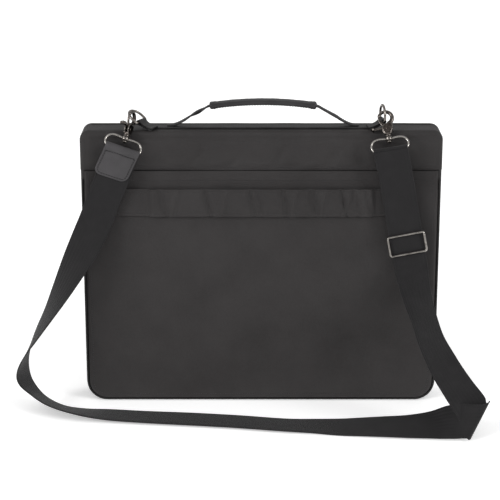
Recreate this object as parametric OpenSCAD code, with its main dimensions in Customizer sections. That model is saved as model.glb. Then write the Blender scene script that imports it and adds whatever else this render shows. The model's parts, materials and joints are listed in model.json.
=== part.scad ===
/* [Case] */
// Width of the case across the panels
case_w = 490; // [420:5:560]
// Height of the case, from its bottom edge to the top of the spine
case_h = 388; // [340:2:440]
// Thickness of each padded panel
panel_t = 3; // [2:0.5:5]
// Radius of the two bottom corners
bottom_r = 29; // [15:1:40]
// Radius of the two top corners
top_r = 13; // [8:1:20]
// Outer face of the rear panel, the one with the slip pocket
rear_y = -19.3; // [-24:0.1:-16]
// Outer face of the front cover
front_y = 27.5; // [22:0.5:32]
// Middle of the zip
zip_y = 3.5; // [0:0.5:6]

/* [Pocket and luggage band] */
// Height of the pocket mouth, where the spine cover ends
mouth_z = 333; // [300:1:345]
// Gap between the rear panel and the pocket panel
pocket_gap = 4.4; // [4.2:0.1:6]
// Height of the luggage band's lower edge
band_z = 271; // [240:1:280]
// Width of the luggage band
band_w = 38; // [25:1:40]
// Length of the luggage band with its sewn ends
band_l = 400; // [300:5:440]
// Gap between the pocket panel and the luggage band
band_gap = 4.4; // [4.2:0.1:6]

/* [Handle] */
// Height of the grip's middle over the top of the case
grip_rise = 36; // [30:1:45]
// Half the distance between the two handle feet
foot_x = 113; // [105:1:130]
// Height of the handle's swing axis over the top of the case
swing_rise = 10; // [9:0.5:12]

/* [Metal] */
// Diameter of the D-ring wire
ring_wire = 3; // [2.5:0.1:3.6]
// Diameter of the wire of the strap loops
loop_wire = 3; // [2.5:0.1:3.6]
// Diameter of the claw's wire
claw_wire = 3.4; // [3:0.1:3.6]
// Radius of the claw, to the middle of its wire
claw_r = 8.9; // [8.5:0.1:9.5]

/* [Shoulder strap] */
// Width of the webbing
strap_w = 46; // [40:1:46]
// Thickness of the webbing
strap_t = 1.6; // [1.2:0.1:1.8]

/* [Hidden] */
$fn = 48;

fabric = [0.23, 0.225, 0.225];
dark_fabric = [0.17, 0.17, 0.17];
webbing = [0.18, 0.175, 0.18];
leather = [0.28, 0.27, 0.27];
nickel = [0.62, 0.61, 0.6];
bright_nickel = [0.75, 0.74, 0.73];
board_grey = [0.5, 0.48, 0.45];
lining_grey = [0.33, 0.33, 0.35];

// Layers of the case, from its rear face to its front face
cover_t = 1.2;
board_t = 2;
lining_t = 1;
skin = 0.1;
spine_t = 3;
edge_r = 5;
side_gap = 0.3;
pocket_t = 1.2;
band_t = 1.2;
pocket_y = rear_y - pocket_gap - pocket_t;
band_y = pocket_y - band_gap - band_t;
pocket_side = 6;
pocket_floor = 6;
panel_top = case_h - edge_r;
gusset_in = 0.4;
hem_in = 3.1;
hem_w = 1.2;
tape_t = 1.2;
tape_in = 5.6;
tape_w = 5;
teeth_w = 1.3;
teeth_gap = 0.3;
piping_r = 1.5;
piping_in = 2.4;

// Zip runs: top ends of the chain and of the tapes
zip_top = case_h - 34;
zip_park = zip_top - 8;
zip_body_w = 9;
zip_body_l = 12;
zip_body_t = 2.2;
zip_pull_l = 26;
pull_out = 2.1;
slider_x = case_w / 2 - tape_in + 0.6;
pin_z = 3.2;
pin_r = 0.7;

// Top strip and its raised ends
strip_w = 22;
strip_t = 3;
strip_half = 148;
right_ring = [164, -5, case_h + 11];
left_ring = [-162, -7, case_h + 10];
left_twist = -28;
left_lift = 35;
right_twist = 10;
loop_w = 17;
loop_wall = 2;
pin_play = 0.08;

// Handle, its middle a little right of the case's middle
handle_mid = 2.5;
foot_w = 11;
foot_t = 2.6;
handle_t = 2.4;
handle_w = 11;
grip_w = 22;
grip_t = 9;

// Hooks: where each swivel sits and how it leans
hook_lean = -35;
right_hook = [170.6, -32, 381.7];
right_roll = -9;
left_hook = [-181.5, -32.5, 381.5];
left_roll = 17;
left_turn = 62;
claw_z = 28.5;
rivet_z = 12.5;
cheek_r = 6.6;
rivet_r = 1.6;
post_r = 2;
bar_z = -17.5;
loop_half = 25;
fold_lean = 9.6;
tab_roll = 19;
tab_w = 46;

// Route of the shoulder strap from the tab, over the ground and up to the right loop:
// middle of the webbing, then the direction across it
ROUTE = [
    [-192.3, -39.2, 348.5, -94, 0, 33], [-200.5, -36, 327.5, -92, 0, 38], [-212, -34, 300, -92, 0, 38],
    [-224, -34, 268, -91, 10, 38], [-240, -38, 234, -86, 36, 36], [-257, -42, 202, -70, 64, 30],
    [-274, -45, 170, -50, 84, 22], [-292, -47, 137, -28, 95, 10], [-309, -48, 108, -12, 99, 4],
    [-322, -48, 84, 6, 99, 0], [-330, -46, 60, 20, 97, -8], [-328, -45, 38, 28, 93, -24],
    [-312, -50, 20, 34, 86, -38], [-285, -68, 11, 38, 85, -34], [-251, -80, 7, 34, 90, -22],
    [-210, -85, 4, 20, 97, -8], [-160, -91, 3, 12, 99, -5], [-100, -98, 3, 11, 99, -3],
    [-35, -107, 3, 10, 99, -3], [30, -119, 3, 10, 99, -3], [70, -123, 3, 9, 99, 2],
    [105, -129, 4, 8, 98, 10], [135, -133, 6, 6, 98, 16], [166, -137, 8, 4, 97, 23],
    [198, -141, 10, 3, 95, 32], [228, -145, 14, 3, 87, 49], [248, -153, 21, 3, 64, 77],
    [263, -162, 26, 8, 30, 95], [275, -165, 27, 24, 18, 95], [286, -165, 27, 45, 22, 87],
    [290, -161, 28, 45, 22, 87], [286, -157, 31, 48, 26, 84], [275, -152, 48, 66, 40, 60],
    [261, -146, 67, 74, 50, 44], [244, -134, 92, 70, 60, 38], [229, -112, 118, 58, 74, 26],
    [219, -84, 147, 60, 76, 22], [211, -58, 173, 78, 54, 22], [206, -42, 196, 95, 14, 22],
    [202.7, -38.1, 213, 98, 0, 19], [198.9, -38.1, 233, 98, 0, 19], [194, -38.1, 260, 98, 0, 19],
    [185.3, -38.1, 308, 98, 0, 19], [179.8, -40, 335, 98, 0, 19], [175, -43.2, 357.5, 98, 0, 16],
    [172.9, -44.7, 367.3, 98, 0, 16]
];
// Second layer of the webbing, behind the first, from the right loop down past the slider
BACK_LAYER = [
    [172.9, -44.7, 367.5, 98, 0, 16], [172.6, -43.9, 369.4, 98, 0, 16], [172.5, -42, 370.2, 98, 0, 16],
    [172.6, -40.1, 369.4, 98, 0, 16], [172.9, -39.3, 367.5, 98, 0, 16], [174.8, -38.4, 356, 98, 0, 17],
    [179.6, -36.2, 337, 98, 0, 19], [187, -33.4, 301, 98, 0, 19], [194, -33.4, 260, 98, 0, 19],
    [201.8, -33.6, 222, 98, 0, 19]
];
slider_at = [198.6, 235];
slider_roll = -11;
slider_y = -41;
slider_half_w = 24.9;
slider_half_h = 15.2;
slider_wire = 3.2;
slider_bar = 2.3;
slider_bar_y = -35.7;

// Outline of the case seen from the front, grown or shrunk by d
module outline(d = 0, top = case_h, bottom = 0) {
    w = case_w / 2 + d;
    hi = top + d;
    lo = bottom - d;
    rb = bottom_r + d;
    rt = top_r + d;
    translate([-w + rb, lo]) square([2 * w - 2 * rb, hi - lo]);
    translate([-w, lo + rb]) square([2 * w, hi - lo - rb - rt]);
    translate([-w + rt, lo + rb]) square([2 * w - 2 * rt, hi - lo - rb]);
    for (s = [-1, 1]) {
        translate([s * (w - rb), lo + rb]) circle(rb);
        translate([s * (w - rt), hi - rt]) circle(rt);
    }
}

// A layer of the case from depth y0 to y1
module layer(y0, y1) {
    translate([0, y1, 0]) rotate([90, 0, 0]) linear_extrude(y1 - y0) children();
}

// A ring that follows the outline, from depth y0 to y1, between two insets
module band_ring(y0, y1, outer, inner, open_above = 1000) {
    layer(y0, y1) intersection() {
        difference() {
            outline(-outer, panel_top);
            outline(-inner, panel_top);
        }
        translate([-case_w, -1]) square([2 * case_w, open_above]);
    }
}

// One padded half of the case: an outer plate and a wall round its edge
module half_shell(y_out, y_in) {
    y0 = min(y_out, y_in);
    y1 = max(y_out, y_in);
    cut0 = y_out < y_in ? y0 + panel_t : y0 - 1;
    cut1 = y_out < y_in ? y1 + 1 : y1 - panel_t;
    difference() {
        layer(y0, y1) outline(0, panel_top);
        layer(cut0, cut1) outline(-panel_t, panel_top);
    }
}

rear_wall_y = zip_y - teeth_gap / 2 - teeth_w - tape_w;
front_wall_y = zip_y + teeth_gap / 2 + teeth_w + tape_w;

module rear_panel() {
    color(fabric) half_shell(rear_y, rear_wall_y);
}

module front_panel() {
    color(fabric) half_shell(front_y, front_wall_y);
}

module rear_board() {
    y = rear_y + panel_t + skin;
    color(board_grey) layer(y, y + board_t) outline(-panel_t - 2, panel_top);
}

module front_board() {
    y = front_y - panel_t - skin;
    color(board_grey) layer(y - board_t, y) outline(-panel_t - 2, panel_top);
}

module rear_lining() {
    y = rear_y + panel_t + board_t + 2 * skin;
    color(lining_grey) layer(y, y + lining_t) outline(-panel_t - 0.2, panel_top);
}

module front_lining() {
    y = front_y - panel_t - board_t - 2 * skin;
    color(lining_grey) layer(y - lining_t, y) outline(-panel_t - 0.2, panel_top);
}

// Round welt along the edge of a panel, on its two sides and its bottom
module piping(y) {
    x = case_w / 2 - piping_in;
    r = bottom_r - piping_in;
    for (s = [-1, 1]) {
        translate([s * x, y, bottom_r]) cylinder(h = mouth_z - 12 - bottom_r, r = piping_r, $fn = 24);
        translate([s * (case_w / 2 - bottom_r), y, bottom_r]) rotate([90, 0, 0])
            rotate([0, 0, s > 0 ? -90 : 180])
            rotate_extrude(angle = 90) translate([r, 0]) circle(piping_r, $fn = 24);
    }
    translate([-case_w / 2 + bottom_r, y, piping_in]) rotate([0, 90, 0])
        cylinder(h = case_w - 2 * bottom_r, r = piping_r, $fn = 24);
}

module rear_piping() {
    color(dark_fabric) piping(rear_y - piping_r - skin);
}

module front_piping() {
    color(dark_fabric) piping(front_y + piping_r + skin);
}

// Gusset that closes the end of the spine above the zip
module spine_gusset(s) {
    color(fabric) layer(rear_wall_y, front_wall_y - side_gap) intersection() {
        difference() {
            outline(-gusset_in, panel_top);
            outline(-gusset_in - tape_t, panel_top);
        }
        translate([s > 0 ? case_w / 2 - top_r - 2 : -case_w / 2, zip_top + side_gap])
            square([top_r + 2, case_h]);
    }
}

module spine_gusset_left() { spine_gusset(-1); }
module spine_gusset_right() { spine_gusset(1); }

// Zip tape set in from the panel's edge, with a hem that reaches the inside of its wall
module zip_tape(y0, y1, hem_y) {
    color(dark_fabric) {
        band_ring(y0, y1, tape_in, tape_in + tape_t, zip_top);
        band_ring(hem_y, hem_y + hem_w, hem_in, tape_in + tape_t, zip_top);
    }
}

module rear_zip_tape() {
    zip_tape(rear_wall_y - hem_w, rear_wall_y + tape_w, rear_wall_y - hem_w);
}

module front_zip_tape() {
    zip_tape(front_wall_y - tape_w, front_wall_y + hem_w, front_wall_y);
}

module rear_zip_teeth() {
    y1 = zip_y - teeth_gap / 2;
    color(dark_fabric) band_ring(y1 - teeth_w, y1, tape_in - 0.2, tape_in + tape_t + 0.6, zip_top);
}

module front_zip_teeth() {
    y0 = zip_y + teeth_gap / 2;
    color(dark_fabric) band_ring(y0, y0 + teeth_w, tape_in - 0.2, tape_in + tape_t + 0.6, zip_top);
}

// Profile of the spine cover across the case: over the top and down the rear to the pocket mouth
module spine_profile() {
    y0 = rear_y - cover_t;
    top = case_h;
    translate([y0, mouth_z + 1]) square([cover_t, top - mouth_z - 1 - edge_r]);
    translate([y0 + edge_r, top - spine_t]) square([front_y - y0 - edge_r, spine_t]);
    translate([y0 + edge_r, top - edge_r]) intersection() {
        difference() {
            circle(edge_r);
            circle(edge_r - cover_t);
        }
        translate([-edge_r, 0]) square([edge_r, edge_r]);
    }
}

module spine_cover() {
    bevel = 9;
    color(fabric) difference() {
        translate([-case_w / 2 + 0.5, 0, 0]) rotate([90, 0, 90]) linear_extrude(case_w - 1) spine_profile();
        for (s = [-1, 1])
            translate([s * (case_w / 2 - 0.5), 0, case_h]) rotate([90, 0, 0])
                cylinder(h = 4 * front_y, r = bevel, center = true, $fn = 4);
    }
}

module spine_board() {
    inset = 15;
    rear_gap = 4;
    color(board_grey)
        translate([-case_w / 2 + inset, rear_y + panel_t + rear_gap, panel_top - panel_t - board_t])
            cube([case_w - 2 * inset, zip_y - rear_y - panel_t - rear_gap - 1, board_t - 2 * skin]);
}

// Slip pocket: a panel held off the case by its sewn sides and floor
module slip_pocket() {
    color(fabric) difference() {
        layer(pocket_y, rear_y) intersection() {
            outline(-4.6, panel_top);
            translate([-case_w, 0]) square([2 * case_w, mouth_z]);
        }
        layer(pocket_y + pocket_t, rear_y + 1) difference() {
            intersection() {
                outline(-4.6 - pocket_side, panel_top);
                translate([-case_w, 0]) square([2 * case_w, mouth_z + 1]);
            }
            translate([-case_w, 0]) square([2 * case_w, pocket_floor]);
        }
    }
}

// Luggage band, sewn down at both ends and bowed off the pocket between them
module luggage_band() {
    end = 44;
    color(fabric) {
        translate([-band_l / 2 + end - 2, band_y, band_z]) cube([band_l - 2 * end + 4, band_t, band_w]);
        for (s = [-1, 1]) translate([s * (band_l / 2 - end / 2), 0, band_z])
            translate([-end / 2, pocket_y - 2, 0]) cube([end, 2, band_w]);
        for (s = [-1, 1]) translate([s * (band_l / 2 - end) - 1.5, band_y, band_z])
            cube([3, band_gap + band_t, band_w]);
    }
}

// Leather strip along the top of the spine
module spine_strip() {
    color(leather) translate([-strip_half, -strip_w / 2, case_h]) cube([2 * strip_half, strip_w, strip_t]);
}

// Strip end that rises to the straight side of a D-ring and folds round it
module ring_loop(at, tail, twist) {
    bore = ring_wire / 2 + pin_play;
    wall = bore + loop_wall;
    foot = case_h + 0.2 - at[2];
    color(leather) translate(at) rotate([0, 0, twist]) rotate([90, 0, 0]) difference() {
        union() {
            cylinder(h = loop_w, r = wall, center = true);
            linear_extrude(loop_w, center = true)
                polygon([[tail, foot], [tail, foot + 2.6], [0, wall * 0.6], [0, -wall * 0.8]]);
        }
        cylinder(h = loop_w + 2, r = bore, center = true);
    }
}

module ring_loop_left() { ring_loop(left_ring, 12, left_twist); }
module ring_loop_right() { ring_loop(right_ring, -15, right_twist); }

// D-ring standing on its straight side, which lies along Y through the origin
module d_ring() {
    r = ring_wire / 2;
    straight = 18;
    corner = 4;
    bow = straight / 2 + corner;
    limb = 4;
    color(nickel) {
        rotate([90, 0, 0]) cylinder(h = straight, r = r, center = true);
        for (s = [-1, 1]) {
            translate([0, s * straight / 2, corner]) rotate([0, 90, 0]) rotate([0, 0, s > 0 ? 0 : -90])
                rotate_extrude(angle = 90) translate([corner, 0]) circle(r);
            translate([0, s * bow, corner]) cylinder(h = limb, r = r);
        }
        translate([0, 0, corner + limb]) rotate([0, 90, 0]) rotate([0, 0, 90])
            rotate_extrude(angle = 180) translate([bow, 0]) circle(r);
    }
}

module d_ring_left() {
    translate(left_ring) rotate([0, 0, left_twist]) rotate([0, left_lift - 90, 0]) d_ring();
}

module d_ring_right() {
    translate(right_ring) rotate([0, 0, right_twist]) d_ring();
}

// Middle line of the handle from its left end to its right end, along X and Z
function arch(i) = let (a = -1 + i / 8, x = a * (foot_x - 8)) [
    handle_mid + x, case_h + swing_rise + (grip_rise - swing_rise) * (abs(a) < 0.66
        ? 1 - 0.22 * pow(a / 0.66, 2) : 0.78 * (1 - (abs(a) - 0.66) / 0.34))
];
function arch_strip(half, first, last) = concat(
    [for (i = [first:last]) arch(i) + [0, half]], [for (i = [last:-1:first]) arch(i) - [0, half]]
);

module arch_bar(thick, width, first, last) {
    translate([0, width / 2, 0]) rotate([90, 0, 0])
        linear_extrude(width) polygon(arch_strip(thick / 2, first, last));
}

module handle_strap() {
    color(leather) arch_bar(handle_t, handle_w, 0, 16);
}

// Padded grip wrapped round the middle of the strap
module handle_grip() {
    color(leather) difference() {
        arch_bar(grip_t, grip_w, 3, 13);
        arch_bar(handle_t + 2 * skin, handle_w + 2 * skin, 2, 14);
    }
}

// Leather foot that rises from the spine strip to the handle's swing axis
module handle_foot(s) {
    z = case_h + strip_t;
    top = case_h + swing_rise;
    color(leather) translate([handle_mid, foot_w / 2, 0]) rotate([90, 0, 0]) linear_extrude(foot_w) polygon([
        [s * (foot_x + 14), z], [s * (foot_x + 14), z + foot_t], [s * (foot_x - 6.5), top + foot_t / 2],
        [s * (foot_x - 6.5), top - foot_t / 2], [s * (foot_x - 2), z]
    ]);
}

module handle_foot_left() { handle_foot(-1); }
module handle_foot_right() { handle_foot(1); }

// Frames of the two hooks, with local Z along the hook and X across the strap
module at_right_hook() { translate(right_hook) rotate([hook_lean, right_roll, 0]) children(); }
module at_left_hook() { translate(left_hook) rotate([hook_lean, left_roll, 0]) children(); }

// A cylinder across the hook at height z and offset x
module cross_pin(x, z, r, h) {
    translate([x, 0, z]) rotate([90, 0, 0]) cylinder(h = h, r = r, center = true);
}

// Part of the claw's ring between two angles, counted from X towards Z
module claw_arc(from, to, wire) {
    translate([0, 0, claw_z]) rotate([90, 0, 0]) rotate([0, 0, from])
        rotate_extrude(angle = to - from) translate([claw_r, 0]) circle(wire / 2);
}

module hook_body() {
    slot = 2.8;
    body_t = 6.8;
    slot_end = 2.9;
    throat = 7.2;
    neck_z = 4;
    color(nickel) {
        difference() {
            union() {
                cross_pin(0, rivet_z, cheek_r, body_t);
                translate([-3.4, -body_t / 2, neck_z]) cube([6.8, body_t, rivet_z - neck_z]);
                translate([slot_end, -body_t / 2, rivet_z]) cube([throat - slot_end, body_t, 9.6]);
            }
            translate([-9, -slot / 2, rivet_z - 5]) cube([9 + slot_end, slot, 16]);
            cross_pin(0, rivet_z, rivet_r, body_t + 2);
        }
        claw_arc(-62, 158, claw_wire);
        translate([0, 0, 1.3]) cylinder(h = neck_z, r = 3.4);
        translate([0, 0, -5]) cylinder(h = 7, r = post_r);
        translate([0, 0, -7.3]) cylinder(h = 2.5, r = 3.2);
    }
}

module hook_rivet() {
    head = 0.6;
    color(nickel) {
        cross_pin(0, rivet_z, rivet_r, 6.8);
        for (s = [-1, 1]) translate([0, s * (3.4 + head / 2), 0]) cross_pin(0, rivet_z, 2.6, head);
    }
}

// Spring gate: an arm that closes the claw and a thumb lever
module hook_gate() {
    t = 2.2;
    lever_l = 19;
    arm_top = claw_z - claw_r + 1.5;
    color(nickel) difference() {
        union() {
            cross_pin(0, rivet_z, 2.6, t);
            translate([0, 0, claw_z]) rotate([90, 0, 0]) rotate([0, 0, 166]) rotate_extrude(angle = 88)
                translate([claw_r - 1.5, -t / 2]) square([3, t]);
            translate([-5, -t / 2, rivet_z - 1.6]) cube([5, t, 4.6]);
            translate([-5, -t / 2, rivet_z]) cube([3.4, t, arm_top - rivet_z]);
            translate([-lever_l, -t / 2, rivet_z + 0.4]) cube([lever_l - 4, t, 2.6]);
            cross_pin(-lever_l, rivet_z + 1.7, 2.2, 4.4);
        }
        cross_pin(0, rivet_z, rivet_r + 0.05, t + 2);
    }
}

// Wire loop with a collar for the swivel post and a bar for the strap
module wire_loop() {
    r = loop_wire / 2;
    top_z = -2;
    big = 5;
    small = 3;
    color(nickel) {
        difference() {
            translate([0, 0, -4.5]) cylinder(h = 5.5, r = 4.2);
            translate([0, 0, -5]) cylinder(h = 7, r = post_r + 0.06);
        }
        for (s = [-1, 1]) {
            translate([s > 0 ? 3.4 : -loop_half + big, 0, top_z]) rotate([0, 90, 0])
                cylinder(h = loop_half - big - 3.4, r = r);
            translate([s * (loop_half - big), 0, top_z - big]) rotate([90, 0, 0])
                rotate([0, 0, s > 0 ? 0 : 90]) rotate_extrude(angle = 90) translate([big, 0]) circle(r);
            translate([s * loop_half, 0, bar_z + small]) cylinder(h = top_z - big - bar_z - small, r = r);
            translate([s * (loop_half - small), 0, bar_z + small]) rotate([90, 0, 0])
                rotate([0, 0, s > 0 ? -90 : 180]) rotate_extrude(angle = 90) translate([small, 0]) circle(r);
        }
        translate([-loop_half + small, 0, bar_z]) rotate([0, 90, 0])
            cylinder(h = 2 * (loop_half - small), r = r);
    }
}

module hook_body_right() { at_right_hook() hook_body(); }
module hook_body_left() { at_left_hook() rotate([0, 0, left_turn]) hook_body(); }
module hook_rivet_right() { at_right_hook() hook_rivet(); }
module hook_rivet_left() { at_left_hook() rotate([0, 0, left_turn]) hook_rivet(); }
module hook_gate_right() { at_right_hook() hook_gate(); }
module hook_gate_left() { at_left_hook() rotate([0, 0, left_turn]) hook_gate(); }
module wire_loop_right() { at_right_hook() wire_loop(); }
module wire_loop_left() { at_left_hook() wire_loop(); }

// Fold round the bar of a wire loop: a half tube of the given inner radius and wall
module bar_fold(inner, wall, w) {
    rotate([90, 0, 90]) translate([0, 0, -w / 2]) rotate_extrude(angle = 180, $fn = 32)
        translate([inner, 0]) square([wall, w]);
}

// Leather end tab: two leaves joined by a fold round the left bar
module leather_tab() {
    gap = 2.4;
    wall = 1.9;
    leaf = 44;
    corner = 9;
    color(leather) at_left_hook() translate([0, 0, bar_z])
            rotate([fold_lean - hook_lean, 0, 0]) rotate([0, tab_roll - left_roll, 0]) {
        bar_fold(gap, wall, tab_w);
        for (y = [-gap - wall, gap]) translate([0, y + wall, 0]) rotate([90, 0, 0]) linear_extrude(wall) {
            translate([-tab_w / 2, -leaf + corner]) square([tab_w, leaf - corner]);
            translate([-tab_w / 2 + corner, -leaf]) square([tab_w - 2 * corner, corner]);
            for (s = [-1, 1]) translate([s * (tab_w / 2 - corner), -leaf + corner]) circle(corner);
        }
    }
}

// Curve through the rows of a route, two steps to each stretch
function pick(rows, i) = rows[max(0, min(len(rows) - 1, i))];
function blend_rows(a, b, c, d, t) = 0.5 * (2 * b + (c - a) * t + (2 * a - 5 * b + 4 * c - d) * t * t
    + (3 * b - a - 3 * c + d) * t * t * t);
function smooth_rows(rows, steps) = concat([for (i = [0:len(rows) - 2], k = [0:steps - 1])
    blend_rows(pick(rows, i - 1), rows[i], rows[i + 1], pick(rows, i + 2), k / steps)],
    [rows[len(rows) - 1]]);
function unit(v) = v / norm(v);
function mid(row) = [row[0], row[1], row[2]];
function across(row) = unit([row[3], row[4], row[5]]);

// Ribbon of webbing swept along a route, eight points to each ring
module ribbon(route, steps) {
    rows = smooth_rows(route, steps);
    n = len(rows);
    half = strap_w / 2;
    t = strap_t / 2;
    points = [for (i = [0:n - 1])
        let (p = mid(rows[i]), a = across(rows[i]))
        let (d = unit(mid(pick(rows, i + 1)) - mid(pick(rows, i - 1))))
        let (w = a * half / max(0.8, norm(cross(d, a))), m = unit(cross(d, a)) * t)
        for (c = [[-1, -0.5], [-0.98, -1], [0, -1], [0.98, -1], [1, 0.5], [0.98, 1], [0, 1], [-0.98, 1]])
            p + w * c[0] + m * c[1]
    ];
    side = [for (i = [0:n - 2], k = [0:7], f = [0, 1])
        let (a = 8 * i + k, b = 8 * i + (k + 1) % 8)
            f == 0 ? [a, b, b + 8] : [a, b + 8, a + 8]];
    last = 8 * n - 8;
    caps = concat([for (k = [1:6]) [0, k + 1, k]], [for (k = [1:6]) [last, last + k, last + k + 1]]);
    polyhedron(points, concat(side, caps), convexity = 10);
}

module shoulder_strap() { color(webbing) ribbon(ROUTE, 2); }

// Webbing folded round the right bar, with its second layer down the back
module strap_fold() {
    color(webbing) ribbon(BACK_LAYER, 3);
}

// Adjusting slider: a wire rectangle in front of the webbing with a bar between its two layers
module strap_slider() {
    r = slider_wire / 2;
    corner = 3;
    x = slider_half_w;
    z = slider_half_h - r;
    color(bright_nickel) translate([slider_at[0], slider_y, slider_at[1]]) rotate([0, slider_roll, 0]) {
        for (s = [-1, 1]) {
            translate([-x + corner, 0, s * z]) rotate([0, 90, 0]) cylinder(h = 2 * (x - corner), r = r);
            translate([s * x, 0, -z + corner]) cylinder(h = 2 * (z - corner), r = r);
            for (q = [-1, 1]) translate([s * (x - corner), 0, q * (z - corner)]) rotate([90, 0, 0])
                rotate([0, 0, s > 0 ? (q > 0 ? 0 : -90) : (q > 0 ? 90 : 180)])
                    rotate_extrude(angle = 90) translate([corner, 0]) circle(r);
            translate([s * x, 0, 0]) rotate([-90, 0, 0])
                cylinder(h = slider_bar_y - slider_y + slider_bar / 2, r = slider_bar / 2);
        }
        translate([-x, slider_bar_y - slider_y, 0]) rotate([0, 90, 0])
            cylinder(h = 2 * x, r = slider_bar / 2);
    }
}

// Zip slider: an outer plate over the chain with a bail for the pull
module zip_slider(s) {
    arm_y = 3;
    arm_t = 1.2;
    arm_h = 3.4;
    color(nickel) translate([0, zip_y, zip_park]) {
        translate([s > 0 ? slider_x : -slider_x - zip_body_t, -zip_body_w / 2, -zip_body_l / 2])
            cube([zip_body_t, zip_body_w, zip_body_l]);
        arm_x = s > 0 ? slider_x + zip_body_t - 0.5 : -slider_x - zip_body_t - pull_out - 1;
        for (q = [-1, 1]) translate([arm_x, q * arm_y - arm_t / 2, 1])
            cube([pull_out + 1.5, arm_t, arm_h]);
        translate([s * (slider_x + zip_body_t + pull_out), 0, pin_z]) rotate([90, 0, 0])
            cylinder(h = 2 * arm_y + 1, r = pin_r, center = true);
    }
}

// Pull tab that hangs from the bail of a zip slider
module zip_pull(s) {
    tab_t = 1.2;
    tab_half = 2;
    x = s * (slider_x + zip_body_t + pull_out);
    color(nickel) translate([x, zip_y, zip_park + pin_z]) difference() {
        union() {
            rotate([90, 0, 0]) cylinder(h = 2 * tab_half, r = 1.7, center = true, $fn = 32);
            translate([-tab_t / 2, -tab_half, -zip_pull_l + 3]) cube([tab_t, 2 * tab_half, zip_pull_l - 4]);
            translate([-tab_t / 2, 0, -zip_pull_l + 3]) rotate([0, 90, 0]) cylinder(h = tab_t, r = 3.2);
        }
        rotate([90, 0, 0]) cylinder(h = 6, r = pin_r + 0.06, center = true, $fn = 32);
    }
}

module zip_slider_left() { zip_slider(-1); }
module zip_slider_right() { zip_slider(1); }
module zip_pull_left() { zip_pull(-1); }
module zip_pull_right() { zip_pull(1); }

rear_panel();
rear_board();
rear_lining();
spine_cover();
spine_board();
spine_gusset_left();
spine_gusset_right();
slip_pocket();
luggage_band();
rear_piping();
rear_zip_tape();
rear_zip_teeth();
front_panel();
front_board();
front_lining();
front_piping();
front_zip_tape();
front_zip_teeth();
spine_strip();
handle_foot_left();
handle_foot_right();
handle_strap();
handle_grip();
ring_loop_left();
ring_loop_right();
d_ring_left();
d_ring_right();
hook_body_left();
hook_body_right();
hook_rivet_left();
hook_rivet_right();
hook_gate_left();
hook_gate_right();
wire_loop_left();
wire_loop_right();
leather_tab();
shoulder_strap();
strap_fold();
strap_slider();
zip_slider_left();
zip_slider_right();
zip_pull_left();
zip_pull_right();
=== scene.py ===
import json
import math

import bpy
import numpy as np
from mathutils import Euler, Matrix, Vector


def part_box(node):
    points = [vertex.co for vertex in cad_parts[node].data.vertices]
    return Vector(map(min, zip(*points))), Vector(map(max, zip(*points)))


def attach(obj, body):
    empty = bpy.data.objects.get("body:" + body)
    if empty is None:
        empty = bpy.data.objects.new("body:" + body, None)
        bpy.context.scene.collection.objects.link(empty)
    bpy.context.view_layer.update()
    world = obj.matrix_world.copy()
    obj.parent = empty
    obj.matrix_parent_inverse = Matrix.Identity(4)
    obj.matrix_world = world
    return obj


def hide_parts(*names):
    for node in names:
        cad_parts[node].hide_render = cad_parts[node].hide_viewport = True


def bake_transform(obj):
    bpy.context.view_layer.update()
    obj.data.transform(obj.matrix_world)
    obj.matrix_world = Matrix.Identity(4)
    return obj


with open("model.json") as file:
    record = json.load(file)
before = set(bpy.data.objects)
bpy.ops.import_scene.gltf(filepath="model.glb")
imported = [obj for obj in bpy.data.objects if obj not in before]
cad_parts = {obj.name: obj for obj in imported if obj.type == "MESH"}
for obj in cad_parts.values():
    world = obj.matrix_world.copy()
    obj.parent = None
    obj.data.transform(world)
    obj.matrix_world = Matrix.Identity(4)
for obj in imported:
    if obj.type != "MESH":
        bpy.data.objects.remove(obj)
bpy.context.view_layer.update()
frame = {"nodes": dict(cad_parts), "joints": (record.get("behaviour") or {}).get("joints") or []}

MM = 0.001


# ---------------------------------------------------------------- camera
CAMERA_AIM = Vector((-15.2, 0, 214.6)) * MM
CAMERA_DISTANCE = 2.33
CAMERA_ELEVATION = math.radians(16.8)
CAMERA_LENS = 120.96


def make_camera():
    camera = bpy.data.objects.new("camera", bpy.data.cameras.new("camera"))
    back = Vector((0, -math.cos(CAMERA_ELEVATION), math.sin(CAMERA_ELEVATION)))
    camera.location = CAMERA_AIM + back * CAMERA_DISTANCE
    camera.rotation_euler = (math.pi / 2 - CAMERA_ELEVATION, 0, 0)
    camera.data.lens = CAMERA_LENS
    camera.data.clip_end = 50
    bpy.context.scene.collection.objects.link(camera)
    bpy.context.scene.camera = camera


make_camera()


# ---------------------------------------------------------------- materials
def srgb(r, g, b):
    """Linear colour, with alpha, of display values from 0 to 255."""
    linear = [c / 255 / 12.92 if c < 10.3 else ((c / 255 + 0.055) / 1.055) ** 2.4 for c in (r, g, b)]
    return (*linear, 1)


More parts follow.
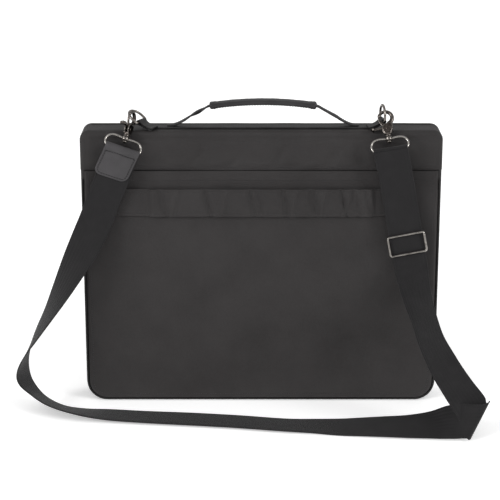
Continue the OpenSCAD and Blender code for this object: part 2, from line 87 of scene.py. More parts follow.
class Nodes:
    """A material's node tree, with short calls to add and join nodes."""

    def __init__(self, name, color, roughness, metallic=0.0, specular=0.5, **extra):
        self.material = bpy.data.materials.new(name)
        self.material.use_nodes = True
        self.tree = self.material.node_tree
        self.shader = self.tree.nodes["Principled BSDF"]
        values = {"Base Color": color, "Roughness": roughness, "Metallic": metallic,
                  "Specular IOR Level": specular, **extra}
        for key, value in values.items():
            self.shader.inputs[key].default_value = value

    def add(self, kind, **values):
        node = self.tree.nodes.new("ShaderNode" + kind)
        for key, value in values.items():
            if key in node.inputs.keys():
                node.inputs[key].default_value = value
            else:
                setattr(node, key, value)
        return node

    def link(self, out, into):
        self.tree.links.new(out, into)

    def place(self):
        return self.add("TexCoord").outputs["Object"]

    def route_place(self):
        return self.add("Attribute", attribute_name="route_place").outputs["Vector"]

    def noise(self, where, scale, detail=3.0, roughness=0.55):
        node = self.add("TexNoise", Scale=scale, Detail=detail, Roughness=roughness)
        self.link(where, node.inputs["Vector"])
        return node.outputs["Fac"]

    def wave(self, where, direction, pitch, distortion=0.0):
        node = self.add("TexWave", bands_direction=direction, Distortion=distortion)
        node.inputs["Scale"].default_value = math.tau / 20 / pitch
        self.link(where, node.inputs["Vector"])
        return node.outputs["Fac"]

    def math(self, operation, a, b):
        node = self.add("Math", operation=operation)
        for socket, value in zip(node.inputs, (a, b)):
            if isinstance(value, (int, float)):
                socket.default_value = value
            else:
                self.link(value, socket)
        return node.outputs[0]

    def mixed(self, a, share_a, b, share_b):
        return self.math("ADD", self.math("MULTIPLY", a, share_a), self.math("MULTIPLY", b, share_b))

    def ramp(self, factor, low, high, start=0.3, end=0.7):
        node = self.add("ValToRGB")
        stops = node.color_ramp.elements
        stops[0].position, stops[1].position = start, end
        stops[0].color, stops[1].color = low, high
        self.link(factor, node.inputs["Fac"])
        return node.outputs["Color"]

    def color(self, output):
        self.link(output, self.shader.inputs["Base Color"])

    def roughness(self, factor, low, high):
        node = self.add("MapRange")
        node.inputs["To Min"].default_value = low
        node.inputs["To Max"].default_value = high
        self.link(factor, node.inputs["Value"])
        self.link(node.outputs["Result"], self.shader.inputs["Roughness"])

    def bump(self, height, distance, strength=1.0):
        node = self.add("Bump", Strength=strength, Distance=distance)
        self.link(height, node.inputs["Height"])
        self.link(node.outputs["Normal"], self.shader.inputs["Normal"])


def woven_cloth(name, dark, light, pitch, roughness=0.5, sheen=0.02, bump=0.00018):
    """Plain-woven cloth: threads along all three axes, with slubs, faint blotches and fuzz."""
    n = Nodes(name, dark, roughness, specular=0.16, **{"Sheen Weight": sheen, "Sheen Roughness": 0.45})
    where = n.place()
    blotch = n.noise(where, 14, detail=4)
    slub = n.noise(where, 420, detail=2)
    n.color(n.ramp(n.mixed(blotch, 0.7, slub, 0.3), dark, light))
    threads = n.math("MULTIPLY", n.wave(where, "X", pitch), n.wave(where, "Z", pitch))
    threads = n.math("ADD", threads, n.math("MULTIPLY", n.wave(where, "Y", pitch), 0.5))
    n.roughness(slub, roughness - 0.08, roughness + 0.1)
    n.bump(n.math("ADD", threads, n.math("MULTIPLY", slub, 0.8)), bump)
    return n.material


def webbing_cloth(name, dark, light, rib_pitch, chevron):
    """Polyester webbing: lengthwise ribs crossed by slanting yarns that turn back at each rib pair."""
    n = Nodes(name, dark, 0.62, specular=0.14, **{"Sheen Weight": 0.12, "Sheen Roughness": 0.4})
    where = n.route_place()
    split = n.add("SeparateXYZ")
    n.link(where, split.inputs[0])
    across, along = split.outputs[0], split.outputs[1]
    zigzag = n.math("PINGPONG", across, rib_pitch)
    slant = n.math("SINE", n.math("MULTIPLY", n.math("ADD", along, zigzag), math.tau / chevron), 0)
    blotch = n.noise(n.place(), 60, detail=4)
    n.color(n.ramp(n.mixed(blotch, 0.75, slant, 0.12), dark, light))
    n.roughness(blotch, 0.54, 0.7)
    n.bump(n.math("ADD", slant, n.math("MULTIPLY", blotch, 0.6)), 0.00012)
    return n.material


def grained_leather(name, dark, light, grain=0.0011, roughness=0.42):
    """Coated leather: pebbled grain, a slow change of tone and polished high spots."""
    n = Nodes(name, dark, roughness, specular=0.25, **{"Coat Weight": 0.02, "Coat Roughness": 0.35})
    where = n.place()
    pebble = n.add("TexVoronoi", feature="F1", Scale=1 / grain, Randomness=0.9)
    n.link(where, pebble.inputs["Vector"])
    tone = n.noise(where, 38, detail=4)
    fine = n.noise(where, 1400, detail=2)
    n.color(n.ramp(n.mixed(tone, 0.8, fine, 0.2), dark, light))
    n.roughness(tone, roughness - 0.07, roughness + 0.1)
    n.bump(n.math("SUBTRACT", n.math("MULTIPLY", fine, 0.35), pebble.outputs["Distance"]), 0.0002)
    return n.material


def plated_metal(name, dark, light, rubbed_edge_and_highlight, roughness, patch_scale):
    """Plated zinc: dark patina in patches, a paler colour on sharp edges that is partly rubbed wear and
    partly painted highlight, fine polishing lines.
    """
    n = Nodes(name, light, roughness, metallic=1.0)
    where = n.place()
    patina = n.noise(where, patch_scale, detail=6, roughness=0.65)
    body = n.ramp(patina, dark, light, 0.32, 0.66)
    # Paler colour on sharp edges, found by pointiness: partly rubbed wear, partly painted highlight.
    edge = n.add("MapRange")
    edge.inputs["From Min"].default_value = 0.5
    edge.inputs["From Max"].default_value = 0.6
    n.link(n.add("NewGeometry").outputs["Pointiness"], edge.inputs["Value"])
    mix = n.add("Mix", data_type="RGBA")
    n.link(edge.outputs["Result"], mix.inputs[0])
    n.link(body, mix.inputs[6])
    mix.inputs[7].default_value = rubbed_edge_and_highlight
    n.color(mix.outputs[2])
    n.roughness(patina, roughness + 0.12, roughness - 0.06)
    n.bump(n.noise(where, 2600, detail=2), 0.00004)
    return n.material


def grey_board(name, dark, light):
    """Pressed fibre board with flecks."""
    n = Nodes(name, dark, 0.85, specular=0.2)
    fleck = n.noise(n.place(), 520, detail=6, roughness=0.75)
    n.color(n.ramp(fleck, dark, light, 0.38, 0.62))
    n.bump(fleck, 0.00015)
    return n.material


def satin_thread(name, dark, light):
    """Twisted polyester sewing thread."""
    n = Nodes(name, dark, 0.45, specular=0.25, **{"Sheen Weight": 0.02})
    twist = n.wave(n.place(), "DIAGONAL", 0.0005)
    n.color(n.ramp(twist, dark, light))
    n.bump(twist, 0.00005)
    return n.material


def zip_polymer(name, dark, light):
    """Moulded nylon coil, slightly glossy with scuffs."""
    n = Nodes(name, dark, 0.36, specular=0.25)
    scuff = n.noise(n.place(), 300, detail=4)
    n.color(n.ramp(scuff, dark, light))
    n.roughness(scuff, 0.28, 0.5)
    n.bump(scuff, 0.00006)
    return n.material


CASE_CLOTH = woven_cloth("case_cloth", srgb(39, 37, 37), srgb(50, 48, 48), 0.0009)
BINDING_CLOTH = woven_cloth("binding_cloth", srgb(33, 32, 32), srgb(42, 41, 41), 0.0006)
LINING_CLOTH = woven_cloth("lining_cloth", srgb(70, 70, 73), srgb(84, 84, 88), 0.0005, roughness=0.5)
TAPE_CLOTH = woven_cloth("tape_cloth", srgb(30, 30, 31), srgb(40, 40, 41), 0.0005)
WEBBING = webbing_cloth("strap_webbing", srgb(27, 26, 27), srgb(37, 36, 37), 0.00245, 0.0016)
LEATHER = grained_leather("tab_leather", srgb(50, 49, 50), srgb(64, 62, 64))
HANDLE_LEATHER = grained_leather("handle_leather", srgb(33, 32, 33), srgb(47, 46, 47))
STRIP_LEATHER = grained_leather("strip_leather", srgb(20, 19, 20), srgb(31, 30, 31))
# The third colour of each metal is its pale sharp-edge colour: partly rubbed wear, partly painted highlight.
NICKEL = plated_metal("antique_nickel", srgb(30, 26, 24), srgb(88, 81, 77), srgb(176, 170, 164), 0.24, 300)
BRIGHT_NICKEL = plated_metal("bright_nickel", srgb(70, 66, 63), srgb(146, 141, 136), srgb(220, 216, 211),
                             0.2, 220)
ZIP_METAL = plated_metal("zip_metal", srgb(52, 51, 50), srgb(98, 96, 94), srgb(160, 157, 152), 0.32, 300)
BOARD = grey_board("grey_board", srgb(112, 108, 100), srgb(136, 131, 122))
THREAD = satin_thread("sewing_thread", srgb(30, 29, 30), srgb(52, 51, 52))
DARK_THREAD = satin_thread("dark_thread", srgb(12, 12, 12), srgb(24, 24, 24))
COIL = zip_polymer("zip_coil", srgb(28, 28, 29), srgb(44, 44, 46))


# ---------------------------------------------------------------- mesh helpers, lengths in millimetres
def piece(name, points, faces, material, body, replaces=(), slot=None):
    """A new mesh piece in the row frame that rides on a body."""
    mesh = bpy.data.meshes.new(name)
    mesh.from_pydata((np.asarray(points, float) * MM).tolist(), [], [list(map(int, f)) for f in faces])
    mesh.validate()
    mesh.polygons.foreach_set("use_smooth", [True] * len(mesh.polygons))
    mesh.materials.append(material)
    obj = bpy.data.objects.new(name, mesh)
    bpy.context.scene.collection.objects.link(obj)
    if body is not None:
        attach(obj, body)
    if replaces:
        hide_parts(*replaces)
    return obj


def quads(a, b, closed):
    """Faces between two lists of point numbers of the same length."""
    n = len(a)
    return [(a[i], a[(i + 1) % n], b[(i + 1) % n], b[i]) for i in range(n if closed else n - 1)]


def grid_faces(rows, cols, first=0, flip=False):
    out = []
    for j in range(rows - 1):
        start = first + j * cols
        out += quads(range(start, start + cols), range(start + cols, start + 2 * cols), False)
    return [face[::-1] for face in out] if flip else out


def unit_rows(v):
    return v / np.maximum(np.linalg.norm(v, axis=-1, keepdims=True), 1e-9)


def catmull(rows, steps):
    """Smooth curve through rows of numbers, the given number of steps to each stretch."""
    rows = np.asarray(rows, float)
    n = len(rows)
    out = []
    for i in range(n - 1):
        a, b = rows[max(i - 1, 0)], rows[i]
        c, d = rows[i + 1], rows[min(i + 2, n - 1)]
        for k in range(steps):
            t = k / steps
            out.append(0.5 * (2 * b + (c - a) * t + (2 * a - 5 * b + 4 * c - d) * t * t
                              + (3 * b - a - 3 * c + d) * t ** 3))
    out.append(rows[-1])
    return np.array(out)


def loft(rings, closed=True, caps=True):
    """Points and faces of a skin over rings that all have the same number of points."""
    rings = [np.asarray(r, float) for r in rings]
    n = len(rings[0])
    points = np.concatenate(rings)
    faces = []
    for j in range(len(rings) - 1):
        faces += quads(range(j * n, j * n + n), range(j * n + n, j * n + 2 * n), closed)
    if caps:
        faces.append(tuple(range(n))[::-1])
        faces.append(tuple(range(len(points) - n, len(points))))
    return points, faces


def frames_along(path, up):
    """Side and up directions at each point of a path, kept as close to the given up as they can be."""
    path = np.asarray(path, float)
    ahead = unit_rows(np.gradient(path, axis=0))
    up = np.broadcast_to(np.asarray(up, float), path.shape)
    side = unit_rows(np.cross(ahead, up))
    return side, unit_rows(np.cross(side, ahead))


def sweep(path, section, up, sizes):
    """A section, points across and up, carried along a path and scaled at each point."""
    side, high = frames_along(path, up)
    return loft([p + np.outer(section[:, 0] * s[0], a) + np.outer(section[:, 1] * s[1], b)
                 for p, a, b, s in zip(path, side, high, sizes)])


def tube_between(path, radius, sides=16, radii=None):
    """A round tube with domed ends along a path, carried without twisting."""
    path = np.asarray(path, float)
    ahead = unit_rows(np.gradient(path, axis=0))
    side = np.cross(ahead[0], (0.31, 0.87, 0.39))
    side /= np.linalg.norm(side)
    radii = np.full(len(path), float(radius)) if radii is None else np.asarray(radii, float)
    angles = np.arange(sides) * math.tau / sides
    heights = [(0,)] * len(path)
    heights[0], heights[-1] = (-0.97, -0.7, -0.35, 0), (0, 0.35, 0.7, 0.97)
    rings = []
    for p, d, r, steps in zip(path, ahead, radii, heights):
        side = side - d * side.dot(d)
        side /= np.linalg.norm(side)
        ring = np.outer(np.cos(angles), side) + np.outer(np.sin(angles), np.cross(d, side))
        rings += [p + d * r * h + ring * r * math.sqrt(1 - h * h) for h in steps]
    return loft(rings)


def join(parts):
    """Several (points, faces) pairs as one."""
    points, faces, first = [], [], 0
    for p, f in parts:
        points.append(np.asarray(p, float))
        faces += [tuple(i + first for i in face) for face in f]
        first += len(p)
    return np.concatenate(points), faces


def arc_points(height, radius, start, end, count):
    """Points on an arc in the XZ plane about a point on the Z axis, angles in degrees."""
    angles = np.radians(np.linspace(start, end, count))
    return np.stack([radius * np.cos(angles), np.zeros(count), height + radius * np.sin(angles)], 1)


def run_along(points):
    """Distance along a line of points, at each point."""
    return np.concatenate([[0], np.cumsum(np.linalg.norm(np.diff(points, axis=0), axis=1))])


# A stitch's shape: share of its length, its size there and its lift off the cloth
SPINDLE = ((0, 0.35, -0.5), (0.2, 0.85, 0.2), (0.5, 1, 0.5), (0.8, 0.85, 0.2), (1, 0.35, -0.5))


def stitch_row(points, normals, pitch=3.4, length=2.5, radius=0.34, sink=0.08):
    """A row of sewing stitches: small spindles that follow a line on a surface."""
    points = np.asarray(points, float)
    normals = np.broadcast_to(np.asarray(normals, float), points.shape)
    run = run_along(points)
    count = max(1, int(run[-1] / pitch))

    def at(s, values):
        return np.array([np.interp(s, run, values[:, k]) for k in range(3)])

    parts = []
    for s in (np.arange(count) + 0.5) * run[-1] / count:
        start, end = at(s - length / 2, points), at(s + length / 2, points)
        up = unit_rows(at(s, normals))
        side = np.cross(unit_rows(end - start), up)
        rings = []
        for t, size, lift in SPINDLE:
            middle = start + (end - start) * t + up * (radius * lift - sink)
            rings.append([middle + side * radius * size * math.cos(a) + up * radius * size * math.sin(a)
                          for a in np.arange(5) * math.tau / 5])
        parts.append(loft(rings))
    return join(parts)


def sewn(name, rows, slot, body):
    """Rows of stitches as one piece."""
    return piece(name, *join(rows), THREAD, body, slot=slot)


class Waves:
    """A smooth uneven surface: a few slow waves in set directions."""

    def __init__(self, seed, length, count=7):
        rng = np.random.default_rng(seed)
        angle = rng.uniform(0, math.tau, count)
        size = rng.uniform(0.6, 1.7, count) * length
        self.k = np.stack([np.cos(angle), np.sin(angle)]) * math.tau / size
        self.phase = rng.uniform(0, math.tau, count)

    def __call__(self, x, z):
        return np.sin(np.multiply.outer(x, self.k[0]) + np.multiply.outer(z, self.k[1]) + self.phase).mean(-1)


def ease(t):
    """0 to 1 with a level start and end."""
    return t * t * (3 - 2 * t)


def surface(x, y, z):
    """Points from grids of x, y and z, any of which may be one number."""
    return np.stack(np.broadcast_arrays(x, y, z), -1)


def hump(x, at, width):
    """Bell curve of height 1."""
    return np.exp(-((x - at) / width) ** 2)


def crease(x, z, start, end, width, height):
    """A soft ridge of the given height along a line between two points, fading out at its ends."""
    (x0, z0), (x1, z1) = start, end
    dx, dz = x1 - x0, z1 - z0
    t = np.clip(((x - x0) * dx + (z - z0) * dz) / (dx * dx + dz * dz), 0, 1)
    away = np.hypot(x - x0 - t * dx, z - z0 - t * dz)
    return height * hump(away, 0, width) * np.sin(math.pi * np.clip(t, 0.12, 0.88)) ** 0.5


# ---------------------------------------------------------------- sizes taken from the frame, in millimetres
def node_box(name):
    low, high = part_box(name)
    return np.array(low) / MM, np.array(high) / MM


def joint_axis(child):
    """Where a body's joint is, and its axis."""
    joint = next(j for j in frame["joints"] if j["child"] == child)
    return np.array(joint["pos_m"]) / MM, unit_rows(np.array(joint["axis"], float))


REAR_LOW, REAR_HIGH = node_box("rear_panel")
FRONT_FAR = node_box("front_panel")[1][1]
SPINE_LOW, SPINE_HIGH = node_box("spine_cover")
POCKET_LOW, POCKET_HIGH = node_box("slip_pocket")
BAND_LOW, BAND_HIGH = node_box("luggage_band")
CASE_W = REAR_HIGH[0] - REAR_LOW[0]
CASE_H = SPINE_HIGH[2]
PANEL_TOP = REAR_HIGH[2]
BOTTOM_R, TOP_R = 29, 13
PANEL_T = 3


def half_width(z, inset, top):
    """Half the width of the case's outline at height z, the outline drawn in by inset."""
    w = CASE_W / 2 - inset
    rb, rt = max(BOTTOM_R - inset, 1), max(TOP_R - inset, 1)
    low = np.clip((inset + rb) - z, 0, rb)
    high = np.clip(z - (top - inset - rt), 0, rt)
    return w - rb + np.sqrt(rb ** 2 - low ** 2) - (rt - np.sqrt(rt ** 2 - high ** 2))


def edge_depth(x, z, inset, top):
    """How far a point lies inside the outline drawn in by inset."""
    w = CASE_W / 2 - inset
    middle = (top - inset + inset) / 2
    half = (top - 2 * inset) / 2
    r = np.where(z < middle, max(BOTTOM_R - inset, 1), max(TOP_R - inset, 1))
    qx, qz = np.abs(x) - w + r, np.abs(z - middle) - half + r
    outside = np.hypot(np.maximum(qx, 0), np.maximum(qz, 0))
    return -(outside + np.minimum(np.maximum(qx, qz), 0) - r)


def spaced(length, step, edge):
    """Distances from 0 to length: close together near both ends, then evenly spaced."""
    near = [0, 0.25, 0.7, 1.4, 2.3, 3.4, 4.8, 6.5, 9, 12]
    near = [d * edge for d in near]
    count = max(2, int((length - 2 * near[-1]) / step))
    middle = np.linspace(near[-1], length - near[-1], count)
    return np.concatenate([near[:-1], middle, [length - d for d in near[-2::-1]]])


def outline_grid(z, inset, top, u):
    """Grid of x and z over the outline at heights z, u running from 0 to 1 across it."""
    x = np.multiply.outer(half_width(z, inset, top), 2 * u - 1)
    return x, np.broadcast_to(z[:, None], x.shape)


def panel_grid(inset, u, v):
    """Grid of x and z over a panel: v runs up it, u across it, both from 0 to 1."""
    return outline_grid(inset + v * (PANEL_TOP - 2 * inset), inset, PANEL_TOP, u)


def grid_edge(rows, cols, closed):
    """Point numbers round a grid: all round it, or down one side, along the bottom and up the other."""
    down = [j * cols for j in range(rows - 1, 0, -1)]
    bottom = list(range(cols - 1))
    up = [j * cols + cols - 1 for j in range(rows - 1)]
    top = [rows * cols - 1 - i for i in range(cols - 1)]
    return down + bottom + up + (top if closed else [rows * cols - 1])


def tray(outer, inner, rings, closed=True):
    """A shell from an outer grid, over rings round its edge, to an inner grid. rings are lists of points that
    follow the grid's edge. Not closed means open along the top row."""
    rows, cols = outer.shape[:2]
    edge = grid_edge(rows, cols, closed)
    points = [outer.reshape(-1, 3)] + [np.asarray(r) for r in rings] + [inner.reshape(-1, 3)]
    chain, first = [edge], rows * cols
    for ring in rings:
        chain.append(list(range(first, first + len(ring))))
        first += len(ring)
    chain.append([first + i for i in edge])
    faces = grid_faces(rows, cols) + grid_faces(rows, cols, first, flip=True)
    for a, b in zip(chain[:-1], chain[1:]):
        faces += [f[::-1] for f in quads(a, b, closed)]
    if not closed:
        top = range((rows - 1) * cols, rows * cols)
        faces += [f for f in quads(list(top), [first + i for i in top], False)]
        faces.append(tuple(c[0] for c in chain))
        faces.append(tuple(c[-1] for c in chain)[::-1])
    return np.concatenate(points), faces


def sheet_solid(middle, thickness, edge_out=0.25):
    """A sheet of the given thickness about a grid of points, its edges rounded."""
    rows, cols = middle.shape[:2]
    along, up = np.gradient(middle, axis=1), np.gradient(middle, axis=0)
    normal = unit_rows(np.cross(along, up))
    outer, inner = middle + normal * thickness / 2, middle - normal * thickness / 2
    edge = grid_edge(rows, cols, True)
    flat = middle.reshape(-1, 3)
    outline = flat[edge]
    run = unit_rows(np.roll(outline, -1, 0) - np.roll(outline, 1, 0))
    push = unit_rows(np.cross(run, normal.reshape(-1, 3)[edge]))
    sign = np.sign(((outline - flat.mean(0)) * push).sum())
    return tray(outer, inner, [outline + push * sign * thickness * edge_out])


def lathe(profile, sides=28):
    """A solid turned about the local Z axis from a list of radius and height."""
    angles = np.arange(sides) * math.tau / sides
    return loft([surface(r * np.cos(angles), r * np.sin(angles), z) for r, z in profile])


def ring_lathe(profile, sides=28):
    """A ring turned about the local Z axis from a closed list of radius and height."""
    angles = np.arange(sides + 1) % sides * math.tau / sides
    return loft([[(r * math.cos(a), r * math.sin(a), z) for r, z in profile] for a in angles], caps=False)


def across_hook(shape):
    """A shape turned about Z laid across the hook instead, at its rivet."""
    points, faces = shape
    return np.stack([points[:, 0], points[:, 2], points[:, 1] + RIVET_Z], 1), faces


def plate(outline, y0, y1, bevel=0.5):
    """A flat plate in the XZ plane between two depths, its edges eased."""
    outline = np.asarray(outline, float)
    center = outline.mean(0)
    reach = np.linalg.norm(outline - center, axis=1, keepdims=True)
    small = center + (outline - center) * (1 - bevel / reach)
    rings = [np.insert(o, 1, y, axis=1) for o, y in
             ((small, y0), (outline, y0 + bevel), (outline, y1 - bevel), (small, y1))]
    return loft(rings)


def closed_curve(points, steps):
    """Smooth closed curve through points."""
    points = list(map(tuple, points))
    around = points[-2:] + points + points[:3]
    return catmull(around, steps)[2 * steps:(len(points) + 2) * steps]


def fused(name, parts, voxel, smoothing):
    """Overlapping shapes melted into one cast-looking mesh, returned as points and faces in millimetres."""
    points, faces = join(parts)
    mesh = bpy.data.meshes.new(name)
    mesh.from_pydata(points.tolist(), [], faces)
    rough = bpy.data.objects.new(name, mesh)
    bpy.context.scene.collection.objects.link(rough)
    remesh = rough.modifiers.new("remesh", "REMESH")
    remesh.mode = "VOXEL"
    remesh.voxel_size = voxel
    soften = rough.modifiers.new("soften", "SMOOTH")
    soften.factor, soften.iterations = 0.5, smoothing
    bpy.context.view_layer.update()
    done = bpy.data.meshes.new_from_object(rough.evaluated_get(bpy.context.evaluated_depsgraph_get()))
    out = np.array([v.co for v in done.vertices]), [tuple(p.vertices) for p in done.polygons]
    bpy.data.objects.remove(rough)
    bpy.data.meshes.remove(mesh)
    bpy.data.meshes.remove(done)
    return out


def placed(points, matrix):
    """Points in millimetres moved by a 4 by 4 matrix whose shift is in millimetres."""
    m = np.array(matrix)
    return np.asarray(points) @ m[:3, :3].T + m[:3, 3]


# ---------------------------------------------------------------- case: padded halves
EDGE_R = 4.5


def edge_drop(depth, radius):
    """How far a face falls back at a distance inside its rounded edge."""
    d = np.clip(depth, 0, radius)
    return radius - np.sqrt(np.maximum(radius ** 2 - (radius - d) ** 2, 0))


def make_shell(half, body):
    """A padded half of the case: a softly crowned face, a rounded edge and a wall with a hemmed rim."""
    low, high = node_box(half + "_panel")
    rear = half == "rear"
    seed, swell = (3, 0.5) if rear else (8, 1.0)
    face, rim, out = (low[1], high[1], -1) if rear else (high[1], low[1], 1)
    deep = abs(face - rim)
    u, v = spaced(CASE_W, 4, 1) / CASE_W, spaced(PANEL_TOP, 4, 1) / PANEL_TOP
    x, z = panel_grid(0, u, v)
    depth = edge_depth(x, z, 0, PANEL_TOP)
    calm = np.clip((PANEL_TOP - 58 - z) / 24, 0, 1) if rear else 1
    pad = np.clip(depth / 34, 0, 1)
    lift = (swell * np.sin(pad * math.pi / 2) + 0.5 * Waves(seed, 150)(x, z) * pad) * calm
    outer = surface(x, face + out * (lift - edge_drop(depth, EDGE_R)), z)
    rings = []
    edge = grid_edge(*x.shape, True)
    for inset, back in ((0, 7), (0, 10), (0, 13), (0, deep - 0.9), (0.35, deep - 0.25), (1.1, deep),
                        (2, deep), (2.7, deep - 0.3), (PANEL_T, deep - 1.2), (PANEL_T, deep / 2),
                        (PANEL_T, PANEL_T + 1)):
        gx, gz = panel_grid(inset, u, v)
        rings.append(surface(gx, face - out * back, gz).reshape(-1, 3)[edge])
    ix, iz = panel_grid(PANEL_T, u, v)
    inner = surface(ix, face - out * PANEL_T, iz)
    piece(half + "_shell", *tray(outer, inner, rings), CASE_CLOTH, body, [half + "_panel"])


def outline_path(inset, z_top, step=4.0, turn=5.0):
    """Points and outward directions down the left side, along the bottom and up the right side."""
    w, r, bend_x = CASE_W / 2 - inset, BOTTOM_R - inset, CASE_W / 2 - BOTTOM_R
    side = np.linspace(z_top, BOTTOM_R, max(2, int((z_top - BOTTOM_R) / step)))
    floor = np.linspace(-bend_x, bend_x, int(2 * bend_x / step))
    bend = np.radians(np.linspace(0, 90, int(90 / turn) + 1))[1:-1]
    points = [(-w, z, -1, 0) for z in side]
    points += [(-bend_x - r * math.cos(a), BOTTOM_R - r * math.sin(a), -math.cos(a), -math.sin(a))
               for a in bend]
    points += [(x, inset, 0, -1) for x in floor]
    points += [(bend_x + r * math.sin(a), BOTTOM_R - r * math.cos(a), math.sin(a), -math.cos(a))
               for a in bend]
    points += [(w, z, 1, 0) for z in side[::-1]]
    return np.array(points)


def outline_strip(path, section):
    """A closed section of outward and depth offsets carried along an outline path."""
    return loft([[(x + nx * a, y, z + nz * a) for a, y in section] for x, z, nx, nz in path])


def even_points(path, pitch):
    """Outline path points resampled at an even pitch."""
    run = run_along(path[:, :2])
    at = np.arange(pitch / 2, run[-1], pitch)
    return np.stack([np.interp(at, run, path[:, k]) for k in range(4)], 1)


def make_piping(half, body):
    low, high = node_box(half + "_piping")
    y, r = (low[1] + high[1]) / 2, (high[1] - low[1]) / 2
    path = outline_path(CASE_W / 2 - high[0] + r, high[2], step=2.4, turn=4)
    rings = []
    for i, (x, z, nx, nz) in enumerate(path):
        size = r * (1 + 0.045 * math.sin(i * 1.9) + 0.03 * math.sin(i * 0.61))
        rings.append([(x + nx * size * math.cos(a), y + size * math.sin(a), z + nz * size * math.cos(a))
                      for a in np.arange(12) * math.tau / 12])
    piece(half + "_welt", *loft(rings), BINDING_CLOTH, body, [half + "_piping"])


TAPE_IN, HEM_W, TAPE_T = 5.6, 1.2, 1.2


def make_zip_tape(half, body):
    """Zip tape set in from the panel's edge, with the hem that is sewn inside the panel's wall."""
    low, high = node_box(half + "_zip_tape")
    hem_in = CASE_W / 2 - high[0]
    path = outline_path(hem_in, high[2], step=5)
    face, back = hem_in - TAPE_IN, hem_in - TAPE_IN - TAPE_T
    y0, y1 = low[1], high[1]
    middle = (face - 0.08, (y0 + y1) / 2)
    if half == "rear":
        section = [(back, y0 + 0.1), (0, y0), (0, y0 + HEM_W), (face, y0 + HEM_W), middle, (face, y1 - 0.25),
                   (face - 0.25, y1), (back, y1 - 0.1)]
    else:
        section = [(back, y0 + 0.1), (face - 0.25, y0), (face, y0 + 0.25), middle, (face, y1 - HEM_W),
                   (0, y1 - HEM_W), (0, y1), (back, y1 - 0.1)]
    piece(half + "_tape", *outline_strip(path, section), TAPE_CLOTH, body, [half + "_zip_tape"])


def make_zip_coil(half, body):
    """Nylon coil: one small rounded turn after another, the front's turns between the rear's."""
    low, high = node_box(half + "_zip_teeth")
    offset = 0 if half == "rear" else 0.85
    inset = CASE_W / 2 - high[0] + 0.9
    path = even_points(outline_path(inset, high[2]), 1.7)
    run = np.array([(-nz, nx) for _, _, nx, nz in path])
    y0, y1 = low[1], high[1]
    parts = []
    for (x, z, nx, nz), (tx, tz) in zip(path, run):
        cx, cz = x + tx * offset, z + tz * offset
        rings = []
        for y, size in ((y0, 0.7), (y0 + 0.25, 1.0), (y1 - 0.25, 1.0), (y1, 0.7)):
            rings.append([(cx + (nx * 0.95 * math.cos(a) + tx * 0.55 * math.sin(a)) * size, y,
                           cz + (nz * 0.95 * math.cos(a) + tz * 0.55 * math.sin(a)) * size)
                          for a in np.arange(6) * math.tau / 6])
        parts.append(loft(rings))
    piece(half + "_coil", *join(parts), COIL, body, [half + "_zip_teeth"])


def make_lining(half, body):
    low, high = node_box(half + "_lining")
    inside, back, out, seed = (high[1], low[1], 1, 21) if half == "rear" else (low[1], high[1], -1, 22)
    inset = CASE_W / 2 - high[0]
    u, v = spaced(CASE_W, 6, 0.6) / CASE_W, spaced(PANEL_TOP, 6, 0.6) / PANEL_TOP
    x, z = panel_grid(inset, u, v)
    depth = edge_depth(x, z, inset, PANEL_TOP)
    puff = 0.55 * np.clip(depth / 16, 0, 1) + 0.22 * Waves(seed, 90)(x, z) * np.clip(depth / 20, 0, 1)
    groove = 0.5 * hump(depth, 9, 1.6)
    outer, inner = surface(x, inside + out * (puff - groove - 0.3), z), surface(x, back, z)
    lining = piece(half + "_inside", *tray(outer, inner, []), LINING_CLOTH, body, [half + "_lining"])
    path = outline_path(inset + 9, PANEL_TOP - 20)
    line = surface(path[:, 0], inside - out * 0.2, path[:, 1])
    rows = [stitch_row(line, (0, out, 0), pitch=4.5, length=3.2)]
    stitches = sewn(half + "_inside_stitches", rows, "binding", body)


for make in (make_shell, make_piping, make_zip_tape, make_zip_coil, make_lining):
    make("rear", "case")
    make("front", "front_cover")


# ---------------------------------------------------------------- case: spine, pocket and luggage band
SPINE_DOWN = SPINE_LOW[2]
COVER_T = 1.2
SPINE_FACE = SPINE_LOW[1]
GROOVE_Z = 377
# Where the skin is pressed in, behind the right hook's lever
DENT_AT = (150, 388)
# Puckers over the lower seam: start, end, width and height
SPINE_PUCKERS = [((20, 342), (32, 364), 5.5, -2.4), ((26, 337), (48, 340), 4.0, -1.8),
                 ((-46, 336), (-33, 348), 5.0, -2.2), ((-96, 338), (-82, 358), 6.0, -2.0),
                 ((92, 339), (102, 360), 7.0, -2.0), ((-12, 338), (8, 341), 4.0, 1.4),
                 ((60, 338), (76, 343), 4.0, 1.5), ((-72, 338), (-58, 342), 4.0, 1.3),
                 ((140, 338), (132, 366), 9, -1.6), ((-136, 338), (-128, 362), 9, -1.4)]


